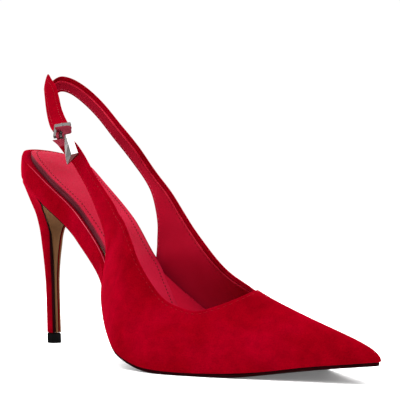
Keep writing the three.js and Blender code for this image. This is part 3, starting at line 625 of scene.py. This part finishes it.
# The strap's end at the buckle gets the lighter suede: painted highlight.
paint(upper, STRAP_HIGHLIGHT_SUEDE, lambda face: min(face.vertices) < STRAP_LOOPS * LOOP_POINTS)
loft("upper_turn_in",
     skin_loops(spread(0.05, LAST_ROW - 0.05, 6), UNDER_SUEDE, LINING_T - 0.15,
                lambda u: v_at(u, 0.35), lambda u: v_at(u, TURN_IN), 5),
     SUEDE, slot="suede", bent=True)


def lining_foot(u):
    """The lining ends this far down a row, a little short of the suede's edge on the straps."""
    return v_at(u, 0.6 * on_strap(u) + 0.3, True) - 0.15 * near_toe(u)


loft("lining_skin",
     skin_loops(spread(0.05, LAST_ROW - 0.05, 6), UNDER_SUEDE, LINING_T,
                lambda u: v_at(u, TURN_IN + 0.25), lining_foot, 18),
     LINING, slot="lining", bent=True,
     stands_for=("upper_lining", "sling_strap_lining", "buckle_strap_lining"))
# A raised line of painted highlight along the lining's top edge.
loft("lining_edge",
     skin_loops(spread(0.06, LAST_ROW - 0.06, 6), SKIN_T - 0.3, 0.5,
                lambda u: v_at(u, TURN_IN - 0.1), lambda u: v_at(u, TURN_IN + 0.35), 4),
     EDGE_HIGHLIGHT_SUEDE, slot="lining", bent=True)


# ---- Stitches ----
# A stitch's cross-sections: place in its length, share of its radius, height above the surface in
# radii.
STITCH_RINGS = ((-0.5, 0.35, -0.9), (-0.3, 0.95, 0.1), (0, 1, 0.35), (0.3, 0.95, 0.1),
                (0.5, 0.35, -0.9))
STITCH_SIDES = 6


def stitches(name, points, normals, thread, pitch=2.6, length=1.9, radius=0.16, **how):
    """A row of short raised stitches along a path on a surface."""
    steps = np.linalg.norm(np.diff(points, axis=0), axis=1)
    at = np.concatenate([[0], np.cumsum(steps)])
    angles = np.arange(STITCH_SIDES) * 2 * math.pi / STITCH_SIDES

    def along(values, run):
        return np.array([np.interp(run, at, values[:, c]) for c in range(3)])

    verts, faces = [], []
    for k in range(int(at[-1] / pitch)):
        rings = []
        for share, swell, lift in STITCH_RINGS:
            run = (k + 0.5) * pitch + share * length
            p, n = along(points, run), unit(along(normals, run))
            side = np.cross(unit(along(points, run + 0.2) - along(points, run - 0.2)), n)
            middle = p + n * radius * lift
            rings.append([middle + radius * swell * (n * math.cos(a) + side * math.sin(a))
                          for a in angles])
        base = len(verts)
        block = np.array(rings).reshape(-1, 3)
        verts.extend(block)
        faces.extend(tuple(base + i for i in f)
                     for f in outward(block, loft_faces(len(rings), STITCH_SIDES)))
    return mesh(name, np.array(verts), faces, thread, **how)


def skin_seam(name, first, last, distance, from_foot=False, inside=False):
    """Stitches along the skin a fixed distance from its topline, or from its back edge."""
    us = spread(first, last, 12)
    vs = np.array([v_at(u, distance, from_foot) for u in us])
    p, n, _ = skin(us, vs)
    crown = STRAP_CROWN * on_strap(us) * 4 * vs * (1 - vs)
    if inside:
        look = PALE_THREAD if from_foot else THREAD
        return stitches(name, p + n * (crown - SKIN_T)[:, None], -n, look, radius=0.12,
                        slot="lining", bent=True)
    return stitches(name, p + n * crown[:, None], n, THREAD, radius=0.1, slot="suede", bent=True)


SEAM_END = 0.2  # rows left free at each end of a seam
LATERAL_BACK_END = FIRST_RIB + 3.6
MEDIAL_BACK_START = LAST_RIB - 3.4
OUTER_INSET, INNER_INSET = 1.3, 1.0  # from the edge to a seam, in millimetres
STRAP_END = LAST_ROW - SEAM_END
skin_seam("topline_stitches", SEAM_END, STRAP_END, OUTER_INSET)
skin_seam("lateral_back_stitches", SEAM_END, LATERAL_BACK_END, OUTER_INSET, from_foot=True)
skin_seam("medial_back_stitches", MEDIAL_BACK_START, STRAP_END, OUTER_INSET, from_foot=True)
skin_seam("inner_back_stitches", MEDIAL_BACK_START, STRAP_END, INNER_INSET, from_foot=True,
          inside=True)
skin_seam("inner_front_stitches", SEAM_END, STRAP_END, TURN_IN + 0.9, inside=True)


# ---- Insole: wrapped rim, padding and sock ----
GAP = 0.3  # between pieces of different nodes
SOCK_T = 0.8
SOCK_END = 24.0
SOCK_TONGUE = 9.0  # length of the tongue's rounded end
SOCK_LIFT = 0.2  # the sock's underside over the padding
SOCK_PROUD = 0.2  # the sock reaches this far past the padding
FOREPART_SOCK = (-24.0, 84.0)
FOREPART_SOCK_TOP = 0.75
PAD_HEEL, PAD_WAIST = 1.2, 2.2  # thickness of the padding
MAX_TURN = 60  # steepest outline that a rolled edge allows for


def stations(first, last, count):
    """Stations closer together towards both ends."""
    return mix(first, last, 0.5 - 0.5 * np.cos(np.linspace(0, 1, count + 1) * math.pi))


def pad_top(x):
    """The padding thickens from the heel end to the waist, and thins to the tongue."""
    return GAP + mix(PAD_HEEL, PAD_WAIST, smooth((x + 108) / 16)) - smooth((x + 30) / 50)


def pad_foot(x):
    """The padding lies on the insole, and further on over the forepart sock."""
    return mix(GAP, FOREPART_SOCK_TOP + GAP, smooth((x + 36) / 10))


sock_inset = curve([(-109, 4.2), (-60, 4.2), (-34, 3.6), (-26, 3.9), (-17.6, 5.4), (-9.6, 10.9),
                    (-4, 15.2), (1.2, 19.1), (10, 24.6), (24, 31.5)])


def sock_foot(x):
    return pad_top(x) + SOCK_LIFT


def sock_top(x):
    return pad_top(x) + SOCK_LIFT + SOCK_T


def tongue_edges(inset, end):
    """Both edges of a layer whose front tapers to a rounded tongue."""
    def at(x):
        low, high = edge(x, inset(x), -1), edge(x, inset(x), 1)
        left = math.sqrt(max(1 - max((x - end + SOCK_TONGUE) / SOCK_TONGUE, 0) ** 2, 0.0004))
        return mix((low + high) / 2, low, left), mix((low + high) / 2, high, left)
    return at


def whole_edges(inset):
    """Both edges of a layer that runs the outline's full width."""
    return lambda x: (edge(x, inset(x), -1), edge(x, inset(x), 1))


def slab(first, last, edges, top, bottom, roll, foot_roll, count, columns, swell=0.0):
    """Cross-sections of a layer that follows the insole, its edges rolled over."""
    rings = []
    for x in stations(first, last, count):
        ends = edges(x)
        ahead, behind = edges(x + 0.05), edges(x - 0.05)
        turn = [math.hypot(1, min(abs(ahead[k] - behind[k]) / 0.1, MAX_TURN)) for k in (0, 1)]
        y = stations(ends[0], ends[1], columns)
        near = np.minimum((y - ends[0]) / turn[0], (ends[1] - y) / turn[1])
        drops = [r * (1 - np.sqrt(1 - np.clip(1 - near / r, 0, 1) ** 2)) for r in (roll, foot_roll)]
        up = np.column_stack([np.full(len(y), x), y, layer(x, top(x) - drops[0])])
        low = np.column_stack([np.full(len(y), x), y, layer(x, bottom(x) + drops[1])])
        left, right = (up[0] + low[0]) / 2 - (0, swell, 0), (up[-1] + low[-1]) / 2 + (0, swell, 0)
        rings.append(np.vstack([left, up, right, low[::-1]]))
    return rings


PAD_FROM = HEEL_END + 4.22
PAD_END = SOCK_END - 1
SOCK_FROM = HEEL_END + 4.02
padding = loft("sock_foam",
               slab(PAD_FROM, PAD_END, tongue_edges(sock_inset, PAD_END), pad_top, pad_foot,
                    roll=0.35, foot_roll=0.15, count=110, columns=30, swell=0.2),
               PAD_EDGE_SHADE, slot="padding", stands_for=("sock_padding",))
sock_edges = tongue_edges(lambda x: sock_inset(x) - SOCK_PROUD, SOCK_END)
sock = loft("sock_sheet",
            slab(SOCK_FROM, SOCK_END, sock_edges, sock_top, sock_foot,
                 roll=0.5, foot_roll=0.2, count=120, columns=40, swell=0.12),
            SOCK, slot="sock", stands_for=("sock_lining",))
# The sock's rolled sides get the padding's dark colour: painted shade.
paint(sock, PAD_EDGE_SHADE, lambda face: abs(face.normal.y) > 0.55)
loft("forepart_sheet",
     slab(*FOREPART_SOCK, whole_edges(lambda x: 3.6 + 0.8 * smooth((x - 50) / 30)),
          lambda x: FOREPART_SOCK_TOP, lambda x: 0.2,
          roll=0.25, foot_roll=0.1, count=90, columns=30),
     LINING, slot="lining", stands_for=("forepart_sock",))

SOCK_SEAM = 2.6  # stitch line this far inside the sock's edge
seam_edges = tongue_edges(lambda x: sock_inset(x) - SOCK_PROUD + SOCK_SEAM, SOCK_END - SOCK_SEAM)
seam_run = stations(SOCK_FROM + SOCK_SEAM, SOCK_END - SOCK_SEAM, 200)
seam_path = np.array([(x, seam_edges(x)[side], layer(x, sock_top(x)))
                      for run, side in ((seam_run[::-1], 0), (seam_run[1:], 1)) for x in run])
bed_slope = np.array([bed(x + 0.5) - bed(x - 0.5) for x in seam_path[:, 0]])
seam_up = unit(np.column_stack([-bed_slope, np.zeros(len(seam_path)), np.ones(len(seam_path))]))
stitches("sock_stitches", seam_path, seam_up, SOCK_THREAD, pitch=2.2, length=1.5, radius=0.24,
         slot="sock")

RIM_TUCK = 2.5  # the rim runs on this far under the quarters


def rim_path(count):
    """Points of the insole's outline round the heel, and the inward direction at each."""
    start = HEEL_END + 0.02
    lateral = stations(start, WRAP_END_LATERAL + RIM_TUCK, count)[::-1]
    medial = stations(start, WRAP_END_MEDIAL + RIM_TUCK, count)[1:]
    points = np.array([(x, edge(x, 0, side))
                       for run, side in ((lateral, -1), (medial, 1)) for x in run])
    ahead = unit(np.gradient(points, axis=0))
    return points, np.column_stack([ahead[:, 1], -ahead[:, 0]])


def rim_loft(name, section, look, **how):
    """A piece along the rim. section(x) lists its closed cross-section as (inset, depth)."""
    points, inward = rim_path(90)
    rings = []
    for (x, y), n in zip(points, inward):
        corners = section(x)
        rings.append([(x + n[0] * i, y + n[1] * i, layer(x + n[0] * i, d)) for i, d in corners])
    return loft(name, rings, look, **how)


WRAP_BULGE = 0.25
WRAP_TURN = 0.5  # radius of the rim's rounded top edge
SEAT_RISE = 2.0  # the rim stands up this much at the heel's end


def wrap_section(x):
    """Up the side, over the edge and inward under the padding, then back along the inside."""
    foot = sole_top(x) - 0.25
    side = [(-WRAP_BULGE * math.sin(math.pi * t), mix(foot, -0.05, t))
            for t in np.linspace(0, 1, 9)]
    over = [(WRAP_TURN - WRAP_TURN * math.cos(a), -0.05 + WRAP_TURN * math.sin(a))
            for a in np.linspace(0.2, math.pi / 2, 6)]
    under_pad = mix(5, 3.5, smooth((x + 44) / 10))
    rise = SEAT_RISE * smooth((-92 - x) / 14)
    over = [(i, d + rise * smooth((i + 0.1) / 0.8)) for i, d in over]
    over += [(1.4, 0.43 + rise), (2.4, 0.4 + rise * 0.9), (3, 0.33 + rise * 0.6),
             (3.4, 0.26 + rise * 0.25), (3.8, 0.24), (under_pad, 0.23), (under_pad, 0.05)]
    return side + over + [(0.85, 0.04), (WRAP_T, -0.1), (WRAP_T, foot)]


def bead_section(x):
    """A thin raised line of painted highlight on top of the rim, thinner at the seat."""
    size = 0.2 * smooth((x + 92) / 14) + 0.03
    inward = mix(1.1, 2.1, smooth((x + 88) / 20))
    return [(inward + size * 1.2 * math.cos(a), 0.38 + size * math.sin(a))
            for a in np.arange(8) * math.pi / 4]


rim_loft("wrap_suede", wrap_section, SUEDE, slot="suede", stands_for=("insole_wrap",))
# The line on the rim is painted highlight.
rim_loft("wrap_highlight_line", bead_section, RIM_HIGHLIGHT, slot="suede")


# ---- Heel: cover, breast flap, top-lift ----
# Sections: height, centre x, half width, depth behind the centre, breast x, half width of the
# breast.
HEEL_SECTIONS = [
    (0, -91.2, 3.3, 3.5, -87.6, 1.6),
    (12, -92.2, 3.3, 3.5, -88.8, 1.5),
    (30, -94, 3.25, 3.7, -90.4, 1.5),
    (38, -94.8, 3.6, 4.1, -90.9, 1.8),
    (48, -95.3, 4.7, 5, -91.1, 2.5),
    (58.5, -95.5, 6.8, 6.6, -91.2, 4.8),
    (63.2, -95.3, 9, 7.6, -89.6, 8),
    (67, -95, 11.8, 9, -86.4, 11.6),
    (71, -94.4, 14.6, 11.4, -83, 14.8),
    (75.2, -91.5, 18, 16, -80, 18),
]
heel_centre, heel_half, heel_back, heel_breast, breast_half = [
    curve([(s[0], s[k]) for s in HEEL_SECTIONS]) for k in range(1, 6)]
SEAT_X = HEEL_END + SEAT_ROUND
HEEL_COVER_T = 0.7
HEEL_STEPS = 28  # round a quarter of the heel's outline
CORNER = HEEL_STEPS // 4 + 2  # its last points, on the corner beside the breast
LAST_SECTION = HEEL_SECTIONS[-1][0]


def seat_under(x):
    return layer(x, sole_top(x) - GAP)


HEEL_TOP = seat_under(SEAT_X)
BLOCK_FOOT = LIFT_H + GAP
BLOCK_TOP = HEEL_TOP - 0.6


def heel_height(level, x):
    """Level at the pin, following the underside of the seat at the top."""
    return level + smooth((level - 50) / (HEEL_TOP - 50)) * (seat_under(x) - HEEL_TOP)


def heel_side(level, inset):
    """Half outline from the back round the side to the breast, on one side."""
    top = smooth((level - LAST_SECTION) / (HEEL_TOP - LAST_SECTION))
    xc = mix(heel_centre(level), SEAT_X, top)
    back = mix(heel_back(level), SEAT_ROUND - 0.3, top) - inset
    front = mix(heel_breast(level), BREAST_X, top) - xc - inset
    half = mix(heel_half(level), 20, top) - inset
    face = min(mix(breast_half(level), 19.6, top) - inset * 0.6, half - 0.05)
    a = np.linspace(0, math.pi / 2, HEEL_STEPS + 1)
    t = np.sin(np.linspace(0, math.pi / 2, HEEL_STEPS // 2 + 1)[1:])
    rear = np.column_stack([xc - back * np.cos(a), half * np.sin(a)])
    fore = np.column_stack([xc + front * t, face + (half - face) * np.sqrt(1 - t * t)])
    return np.vstack([rear, fore])


def heel_outline(level, inset):
    """Both sides from the lateral breast edge round the back to the medial one, with heights."""
    side = heel_side(level, inset)
    both = np.vstack([side[:0:-1] * (1, -1), side])
    return np.column_stack([both, heel_height(level, both[:, 0])])


cover_rings = []
for level in np.linspace(BLOCK_FOOT, HEEL_TOP - 0.05, 90):
    outside, within = heel_outline(level, 0), heel_outline(level, HEEL_COVER_T)
    cover_rings.append(np.vstack([outside, within[::-1]]))
loft("heel_suede", cover_rings, SUEDE, slot="suede", stands_for=("heel_cover",))

FLAP_FRONT, FLAP_BACK, FLAP_CROWN = 0.75, 0.1, 0.25  # faces of the breast leather, off the block
FLAP_MARGIN = 0.45
flap_rings = []
for level in np.linspace(BLOCK_FOOT, BLOCK_TOP, 80):
    x, half = heel_side(level, HEEL_COVER_T + 0.15)[-1]
    width = max(half - FLAP_MARGIN, 0.6)
    z = heel_height(level, x)
    shares = np.linspace(-1, 1, 13)
    face_line = [(x + FLAP_FRONT + FLAP_CROWN * (1 - b ** 4), b * width, z) for b in shares]
    back_line = [(x + FLAP_BACK, b * width, z) for b in shares[::-1]]
    flap_rings.append(face_line + back_line)
loft("breast_leather", flap_rings, BREAST, slot="sole_leather", stands_for=("heel_breast_flap",))

EDGE_TOP = 64.0  # the strips on the heel's corners end here
EDGE_TAPER = 22.0  # after narrowing over this height
EDGE_HALF_T = 0.1


def heel_corner(level, inset, share):
    """The last part of the outline before the breast, a share of the rounded corner."""
    side = heel_side(level, inset)[-CORNER:]
    at = np.linspace((CORNER - 1) * (1 - share), CORNER - 1, CORNER)
    return np.column_stack([np.interp(at, np.arange(CORNER), side[:, k]) for k in (0, 1)])


# A strip of painted shade on the lateral corner, in the sole edge's near black, and a leather one on
# the medial corner.
for name, way, share, look in (("dark_edge", -1, 0.6, SOLE_EDGE), ("leather_edge", 1, 1.0, BREAST)):
    strip = []
    for level in np.linspace(BLOCK_FOOT, EDGE_TOP, 80):
        left = share * (1 - 0.95 * smooth((level - EDGE_TOP + EDGE_TAPER) / EDGE_TAPER))
        outside, within = [heel_corner(level, inset, left) for inset in (-EDGE_HALF_T, EDGE_HALF_T)]
        ring = np.vstack([outside, within[::-1]]) * (1, way)
        strip.append(np.column_stack([ring, heel_height(level, ring[:, 0])]))
    loft("breast_" + name, strip, look, slot="sole_leather")

# The top-lift's edge: height, inset.
LIFT_EDGE = ((0, 0.5), (0.12, 0.25), (0.4, 0.06), (0.9, 0), (2.4, 0.02), (4.4, 0), (4.85, 0.08),
             (LIFT_H, 0.3))
lift_rings = []
for z, inset in LIFT_EDGE:
    ring = heel_outline(z, inset)
    ring[:, 2] = z
    lift_rings.append(ring)
loft("lift_rubber", lift_rings, LIFT, slot="top_lift", stands_for=("top_lift",))


# ---- Outsole ----
SOLE_INSET = 0.9
# The sole in near black brown: painted shade on its underside.
sole = loft("sole_sheet",
            slab(BREAST_X + 1, TOE_END - 0.95, whole_edges(lambda x: SOLE_INSET), sole_top,
                 lambda x: -under(x), roll=0.25, foot_roll=0.4, count=140, columns=30, swell=0.1),
            SOLE, slot="sole_leather", stands_for=("outsole",))
paint(sole, SOLE_EDGE, lambda face: abs(face.normal.z) < 0.72)


# ---- Buckle, loops, tail and tip ----
BUCKLE_W, BUCKLE_L, BUCKLE_T = 7.6, 9.2, 1.5
BAR = 1.3  # width of the frame's bars
ACROSS = unit(np.array((0.7, 0.7, 0.15)))
DOWN = np.array((0.575, -0.415, -0.7))
DOWN = unit(DOWN - ACROSS * np.dot(DOWN, ACROSS))
FACE = unit(np.cross(DOWN, ACROSS))
BUCKLE_CORNER = np.array((-54.2, -24.5, 105.4))
PIVOT_L = BUCKLE_L - BAR
BAR_ROOM, LOOP_R = 1.08, 1.75  # inner and outer radius of the loops round the bar
PRONG_R = 0.45
PRONG_RISE = BUCKLE_T / 2 + GAP + PRONG_R


def on_buckle(w, l, n):
    """A point by its place across, down and out of the buckle's face."""
    return BUCKLE_CORNER + ACROSS * w + DOWN * l + FACE * n


def torus_faces(rings, count):
    """Faces of a ring of rings, closed both ways."""
    faces = []
    for i in range(rings):
        here, there = i * count, (i + 1) % rings * count
        for j in range(count):
            k = (j + 1) % count
            faces.append((here + j, here + k, there + k, there + j))
    return faces


SLEEVE_RINGS, SLEEVE_POINTS = 48, 20


def sleeve(name, first, last):
    """A soft loop rolled round the lower bar, its ends rounded, in suede with a painted highlight."""
    middle, half = (first + last) / 2, (last - first) / 2
    mean, thick = (BAR_ROOM + LOOP_R) / 2, (LOOP_R - BAR_ROOM) / 2
    points = []
    for a in np.linspace(0, 2 * math.pi, SLEEVE_RINGS, endpoint=False):
        for b in np.linspace(0, 2 * math.pi, SLEEVE_POINTS, endpoint=False):
            w = middle + half * np.sign(math.cos(b)) * abs(math.cos(b)) ** 0.3
            r = mean + thick * np.sign(math.sin(b)) * abs(math.sin(b)) ** 0.6
            points.append(on_buckle(w, PIVOT_L + r * math.cos(a), r * math.sin(a)))
    points = np.array(points)
    mesh(name, points, outward(points, torus_faces(SLEEVE_RINGS, SLEEVE_POINTS)), STRAP_HIGHLIGHT_SUEDE, body="strap",
         slot="suede", stands_for=(name.replace("_suede", ""),))


sleeve("buckle_loop_outer_suede", BAR + 0.3, BUCKLE_W / 2 - 0.8)
sleeve("buckle_loop_inner_suede", BUCKLE_W / 2 + 0.8, BUCKLE_W - BAR - 0.3)

TIP_DOWN = unit(np.array((0.47, 0, -0.88)))
TIP_ACROSS = np.array((0.62, 0.77, 0.12))
TIP_ACROSS = unit(TIP_ACROSS - TIP_DOWN * np.dot(TIP_ACROSS, TIP_DOWN))
TIP_FACE = unit(np.cross(TIP_DOWN, TIP_ACROSS))
TIP_RIDGE = np.array((-42.9, -25.6, 101))


def on_tip(w, l, n):
    """A point by its place across, down and out of the metal tip's face."""
    return TIP_RIDGE + TIP_ACROSS * w + TIP_DOWN * l + TIP_FACE * n


# The tail's two edges, down behind the frame's upper bar, out through the frame, into the tip.
TAIL = [(on_buckle(high, l, n), on_buckle(low, l, n)) for high, low, l, n in
        ((5.7, 0.1, -0.9, -2.3), (5.9, 1.6, 1.4, -1.9), (5.8, 1.7, 3.3, -1.5), (5.8, 1.8, 5, 1.2),
         (7.2, 2.2, 7.2, 3.3))]
TAIL += [(on_tip(high, l, n), on_tip(low, l, n)) for high, low, l, n in
         ((3, -1.4, -1.6, 0.6), (2.6, -0.5, -0.4, 0.6), (2.4, -0.3, 0.9, 0.45))]
TAIL_T = 1.1
TAIL_CROWN = 0.25
TAIL_STEP = 0.05
TAIL_END = len(TAIL) - 1
highs, lows = np.array([t[0] for t in TAIL]), np.array([t[1] for t in TAIL])
tail_rings = []
for t in np.linspace(0, TAIL_END, 60):
    at = np.array([t])
    a, b = catmull(highs, at)[0], catmull(lows, at)[0]
    later, sooner = np.minimum(at + TAIL_STEP, TAIL_END), np.maximum(at - TAIL_STEP, 0)
    ahead = sum(catmull(e, later)[0] - catmull(e, sooner)[0] for e in (highs, lows))
    over = unit(b - a)
    normal = unit(np.cross(ahead, over))
    s = np.linspace(0, 1, 15)
    out = [mix(a, b, k) + normal * TAIL_CROWN * (1 - (2 * k - 1) ** 4) for k in s]
    under_side = [mix(a, b, k) - normal * TAIL_T for k in s[::-1]]
    half = TAIL_T / 2
    foot_arc, top_arc = [
        [e - normal * half + half * (normal * math.cos(q) + way * over * math.sin(q)) for q in turns]
        for e, way, turns in ((b, 1, (0.8, 1.57, 2.35)), (a, -1, (2.35, 1.57, 0.8)))]
    tail_rings.append(np.array(out + foot_arc + under_side + top_arc))
# The tail is a copy of the suede with painted shade and painted sheen.
tail = loft("tail_suede", tail_rings, TAIL_SHADE_AND_SHEEN, body="strap", slot="suede",
            stands_for=("strap_tail",))

# A slot in the tail, for the prong wherever it turns.
hole = bmesh.new()
prong_ends = [on_buckle(BUCKLE_W / 2, l, PRONG_RISE) for l in (PIVOT_L - 1.3, 0.6)]
pivot = on_buckle(0, PIVOT_L, 0)
SLOT_R = PRONG_R + 0.25
PRONG_SWEEP = 24  # the tilt and the lift together, in degrees
for degrees in np.linspace(0, PRONG_SWEEP, 5):
    turn = np.array(Matrix.Rotation(math.radians(degrees), 3, Vector(ACROSS)))
    for p in prong_ends:
        q = pivot + turn @ (p - pivot)
        for w in (-SLOT_R, SLOT_R):
            for n in (-SLOT_R, SLOT_R):
                hole.verts.new(placed(q + ACROSS * w + (turn @ FACE) * n))
bmesh.ops.convex_hull(hole, input=hole.verts)
cutter_mesh = bpy.data.meshes.new("prong_slot")
hole.to_mesh(cutter_mesh)
hole.free()
cutter = bpy.data.objects.new("prong_slot", cutter_mesh)
bpy.context.scene.collection.objects.link(cutter)
opening = tail.modifiers.new("prong_slot", "BOOLEAN")
opening.object = cutter
opening.operation = "DIFFERENCE"
opening.solver = "EXACT"
depsgraph = bpy.context.evaluated_depsgraph_get()
cut_tail = bpy.data.meshes.new_from_object(tail.evaluated_get(depsgraph))
tail.modifiers.clear()
tail.data = cut_tail
bpy.data.objects.remove(cutter)


def round_edges(piece, width, degrees):
    """Bevels the edges sharper than the angle, width in millimetres."""
    bevel = piece.modifiers.new("edge", "BEVEL")
    bevel.width = width * MM
    bevel.segments = 3
    bevel.limit_method = "ANGLE"
    bevel.angle_limit = math.radians(degrees)


# Metal tip: bright front face, painted shade on the side bevel and the back, and a painted reflection
# of the strap on the end bevel.
# Rows: length, bevel edge, ridge, far edge, half thickness.
TIP = [(0, -0.5, 0, 2.6, 0.9), (6, -1.9, 0, 2.8, 1.1), (12.4, -3, 0, 3.1, 1.1),
       (16.2, -3.1, -2.9, -2.6, 0.25)]
tip_rings = [[on_tip(near, l, -h), on_tip(near, l, -h * 0.5), on_tip(ridge, l, h),
              on_tip(far, l, h * 0.85), on_tip(far, l, -h)] for l, near, ridge, far, h in TIP]
tip = loft("tip_metal", tip_rings, BRIGHT, body="tip", slot="bright_metal", smooth_faces=False,
           stands_for=("strap_tip",))
paint(tip, TIP_SIDE_SHADE,
      lambda face: np.dot(face.normal, TIP_ACROSS) < -0.2 or np.dot(face.normal, TIP_FACE) < 0.5)
paint(tip, TIP_STRAP_REFLECTION, lambda face: np.dot(face.normal, TIP_DOWN) > 0.1)
round_edges(tip, 0.16, 12)


# ---- CAD nodes that keep their shape: finer edges and their own materials ----
def finish_node(name, look, bevel=0.0):
    """Gives a CAD node its look, and rounds its edges by bevel millimetres."""
    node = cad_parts[name]
    node.data.materials.clear()
    node.data.materials.append(look)
    if bevel:
        round_edges(node, bevel, 35)
    smoothing = node.modifiers.new("normals", "WEIGHTED_NORMAL")
    smoothing.keep_sharp = True


finish_node("buckle_frame", DARK_METAL, 0.22)
finish_node("buckle_prong", DARK_METAL)
for name in ("insole_board", "shank_board", "toe_puff"):
    finish_node(name, BOARD)
finish_node("forepart_filler", CORK)
finish_node("heel_block", PLASTIC)
STEEL_PARTS = ("steel_shank", "heel_dowel", "top_lift_pin", "heel_screw", "heel_nail",
               "shank_rivet")
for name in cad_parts:
    if name.startswith(STEEL_PARTS):
        finish_node(name, STEEL)


# ---- Floor, lights and camera ----
FLOOR = 6  # half width in metres
floor_mesh = bpy.data.meshes.new("floor")
corners = [(x * FLOOR, y * FLOOR, 0) for x, y in ((-1, -1), (1, -1), (1, 1), (-1, 1))]
floor_mesh.from_pydata(corners, [], [(0, 1, 2, 3)])
floor_look, _, _, floor_shader = material("floor", (0.97, 0.97, 0.97), 0.9)
floor_shader.inputs["Emission Color"].default_value = (1, 1, 1, 1)
floor_shader.inputs["Emission Strength"].default_value = 0.15
floor_mesh.materials.append(floor_look)
floor = bpy.data.objects.new("floor", floor_mesh)
bpy.context.scene.collection.objects.link(floor)
bpy.context.scene.view_settings.view_transform = "Standard"

world = bpy.data.worlds.new("studio")
world.use_nodes = True
sky = world.node_tree.nodes["Background"]
sky.inputs["Color"].default_value = (1, 1, 1, 1)
sky.inputs["Strength"].default_value = 1.02
bpy.context.scene.world = world


def soft_light(name, place, aim, size, power):
    """A rectangular lamp at place, turned to aim."""
    lamp = bpy.data.lights.new(name, "AREA")
    lamp.shape = "RECTANGLE"
    lamp.size, lamp.size_y = size
    lamp.energy = power
    made = bpy.data.objects.new(name, lamp)
    made.location = place
    made.rotation_euler = (Vector(aim) - Vector(place)).to_track_quat("-Z", "Y").to_euler()
    bpy.context.scene.collection.objects.link(made)


soft_light("top", (-0.1, 0.1, 0.8), (0, 0, 0.05), (1.5, 1.5), 24)
soft_light("back_left", (-0.7, -0.35, 0.45), (0, 0, 0.06), (0.5, 0.5), 3)
soft_light("front_right", (0.6, 0.5, 0.5), (0, 0, 0.06), (0.5, 0.5), 2.5)

# The camera's place about its target, in degrees and millimetres, fitted to the photograph's outline.
AZIMUTH, ELEVATION, ROLL = math.radians(50), math.radians(-3.7), math.radians(0.6)
DISTANCE = 396.0
TARGET = np.array((24.1, 0, 68.4))
back = np.array((math.sin(AZIMUTH) * math.cos(ELEVATION), -math.cos(AZIMUTH) * math.cos(ELEVATION),
                 math.sin(ELEVATION)))
right = np.array((math.cos(AZIMUTH), math.sin(AZIMUTH), 0))
up = np.cross(back, right)
rolled_right = right * math.cos(ROLL) + up * math.sin(ROLL)
rolled_up = up * math.cos(ROLL) - right * math.sin(ROLL)
lens = bpy.data.cameras.new("camera")
lens.sensor_width = 36
lens.lens = 84.15
lens.clip_start = 0.01
camera = bpy.data.objects.new("camera", lens)
place = placed(TARGET + back * DISTANCE)
turned = np.column_stack([rolled_right, rolled_up, back, place])
camera.matrix_world = Matrix([*turned.tolist(), [0, 0, 0, 1]])
bpy.context.scene.collection.objects.link(camera)
bpy.context.scene.camera = camera
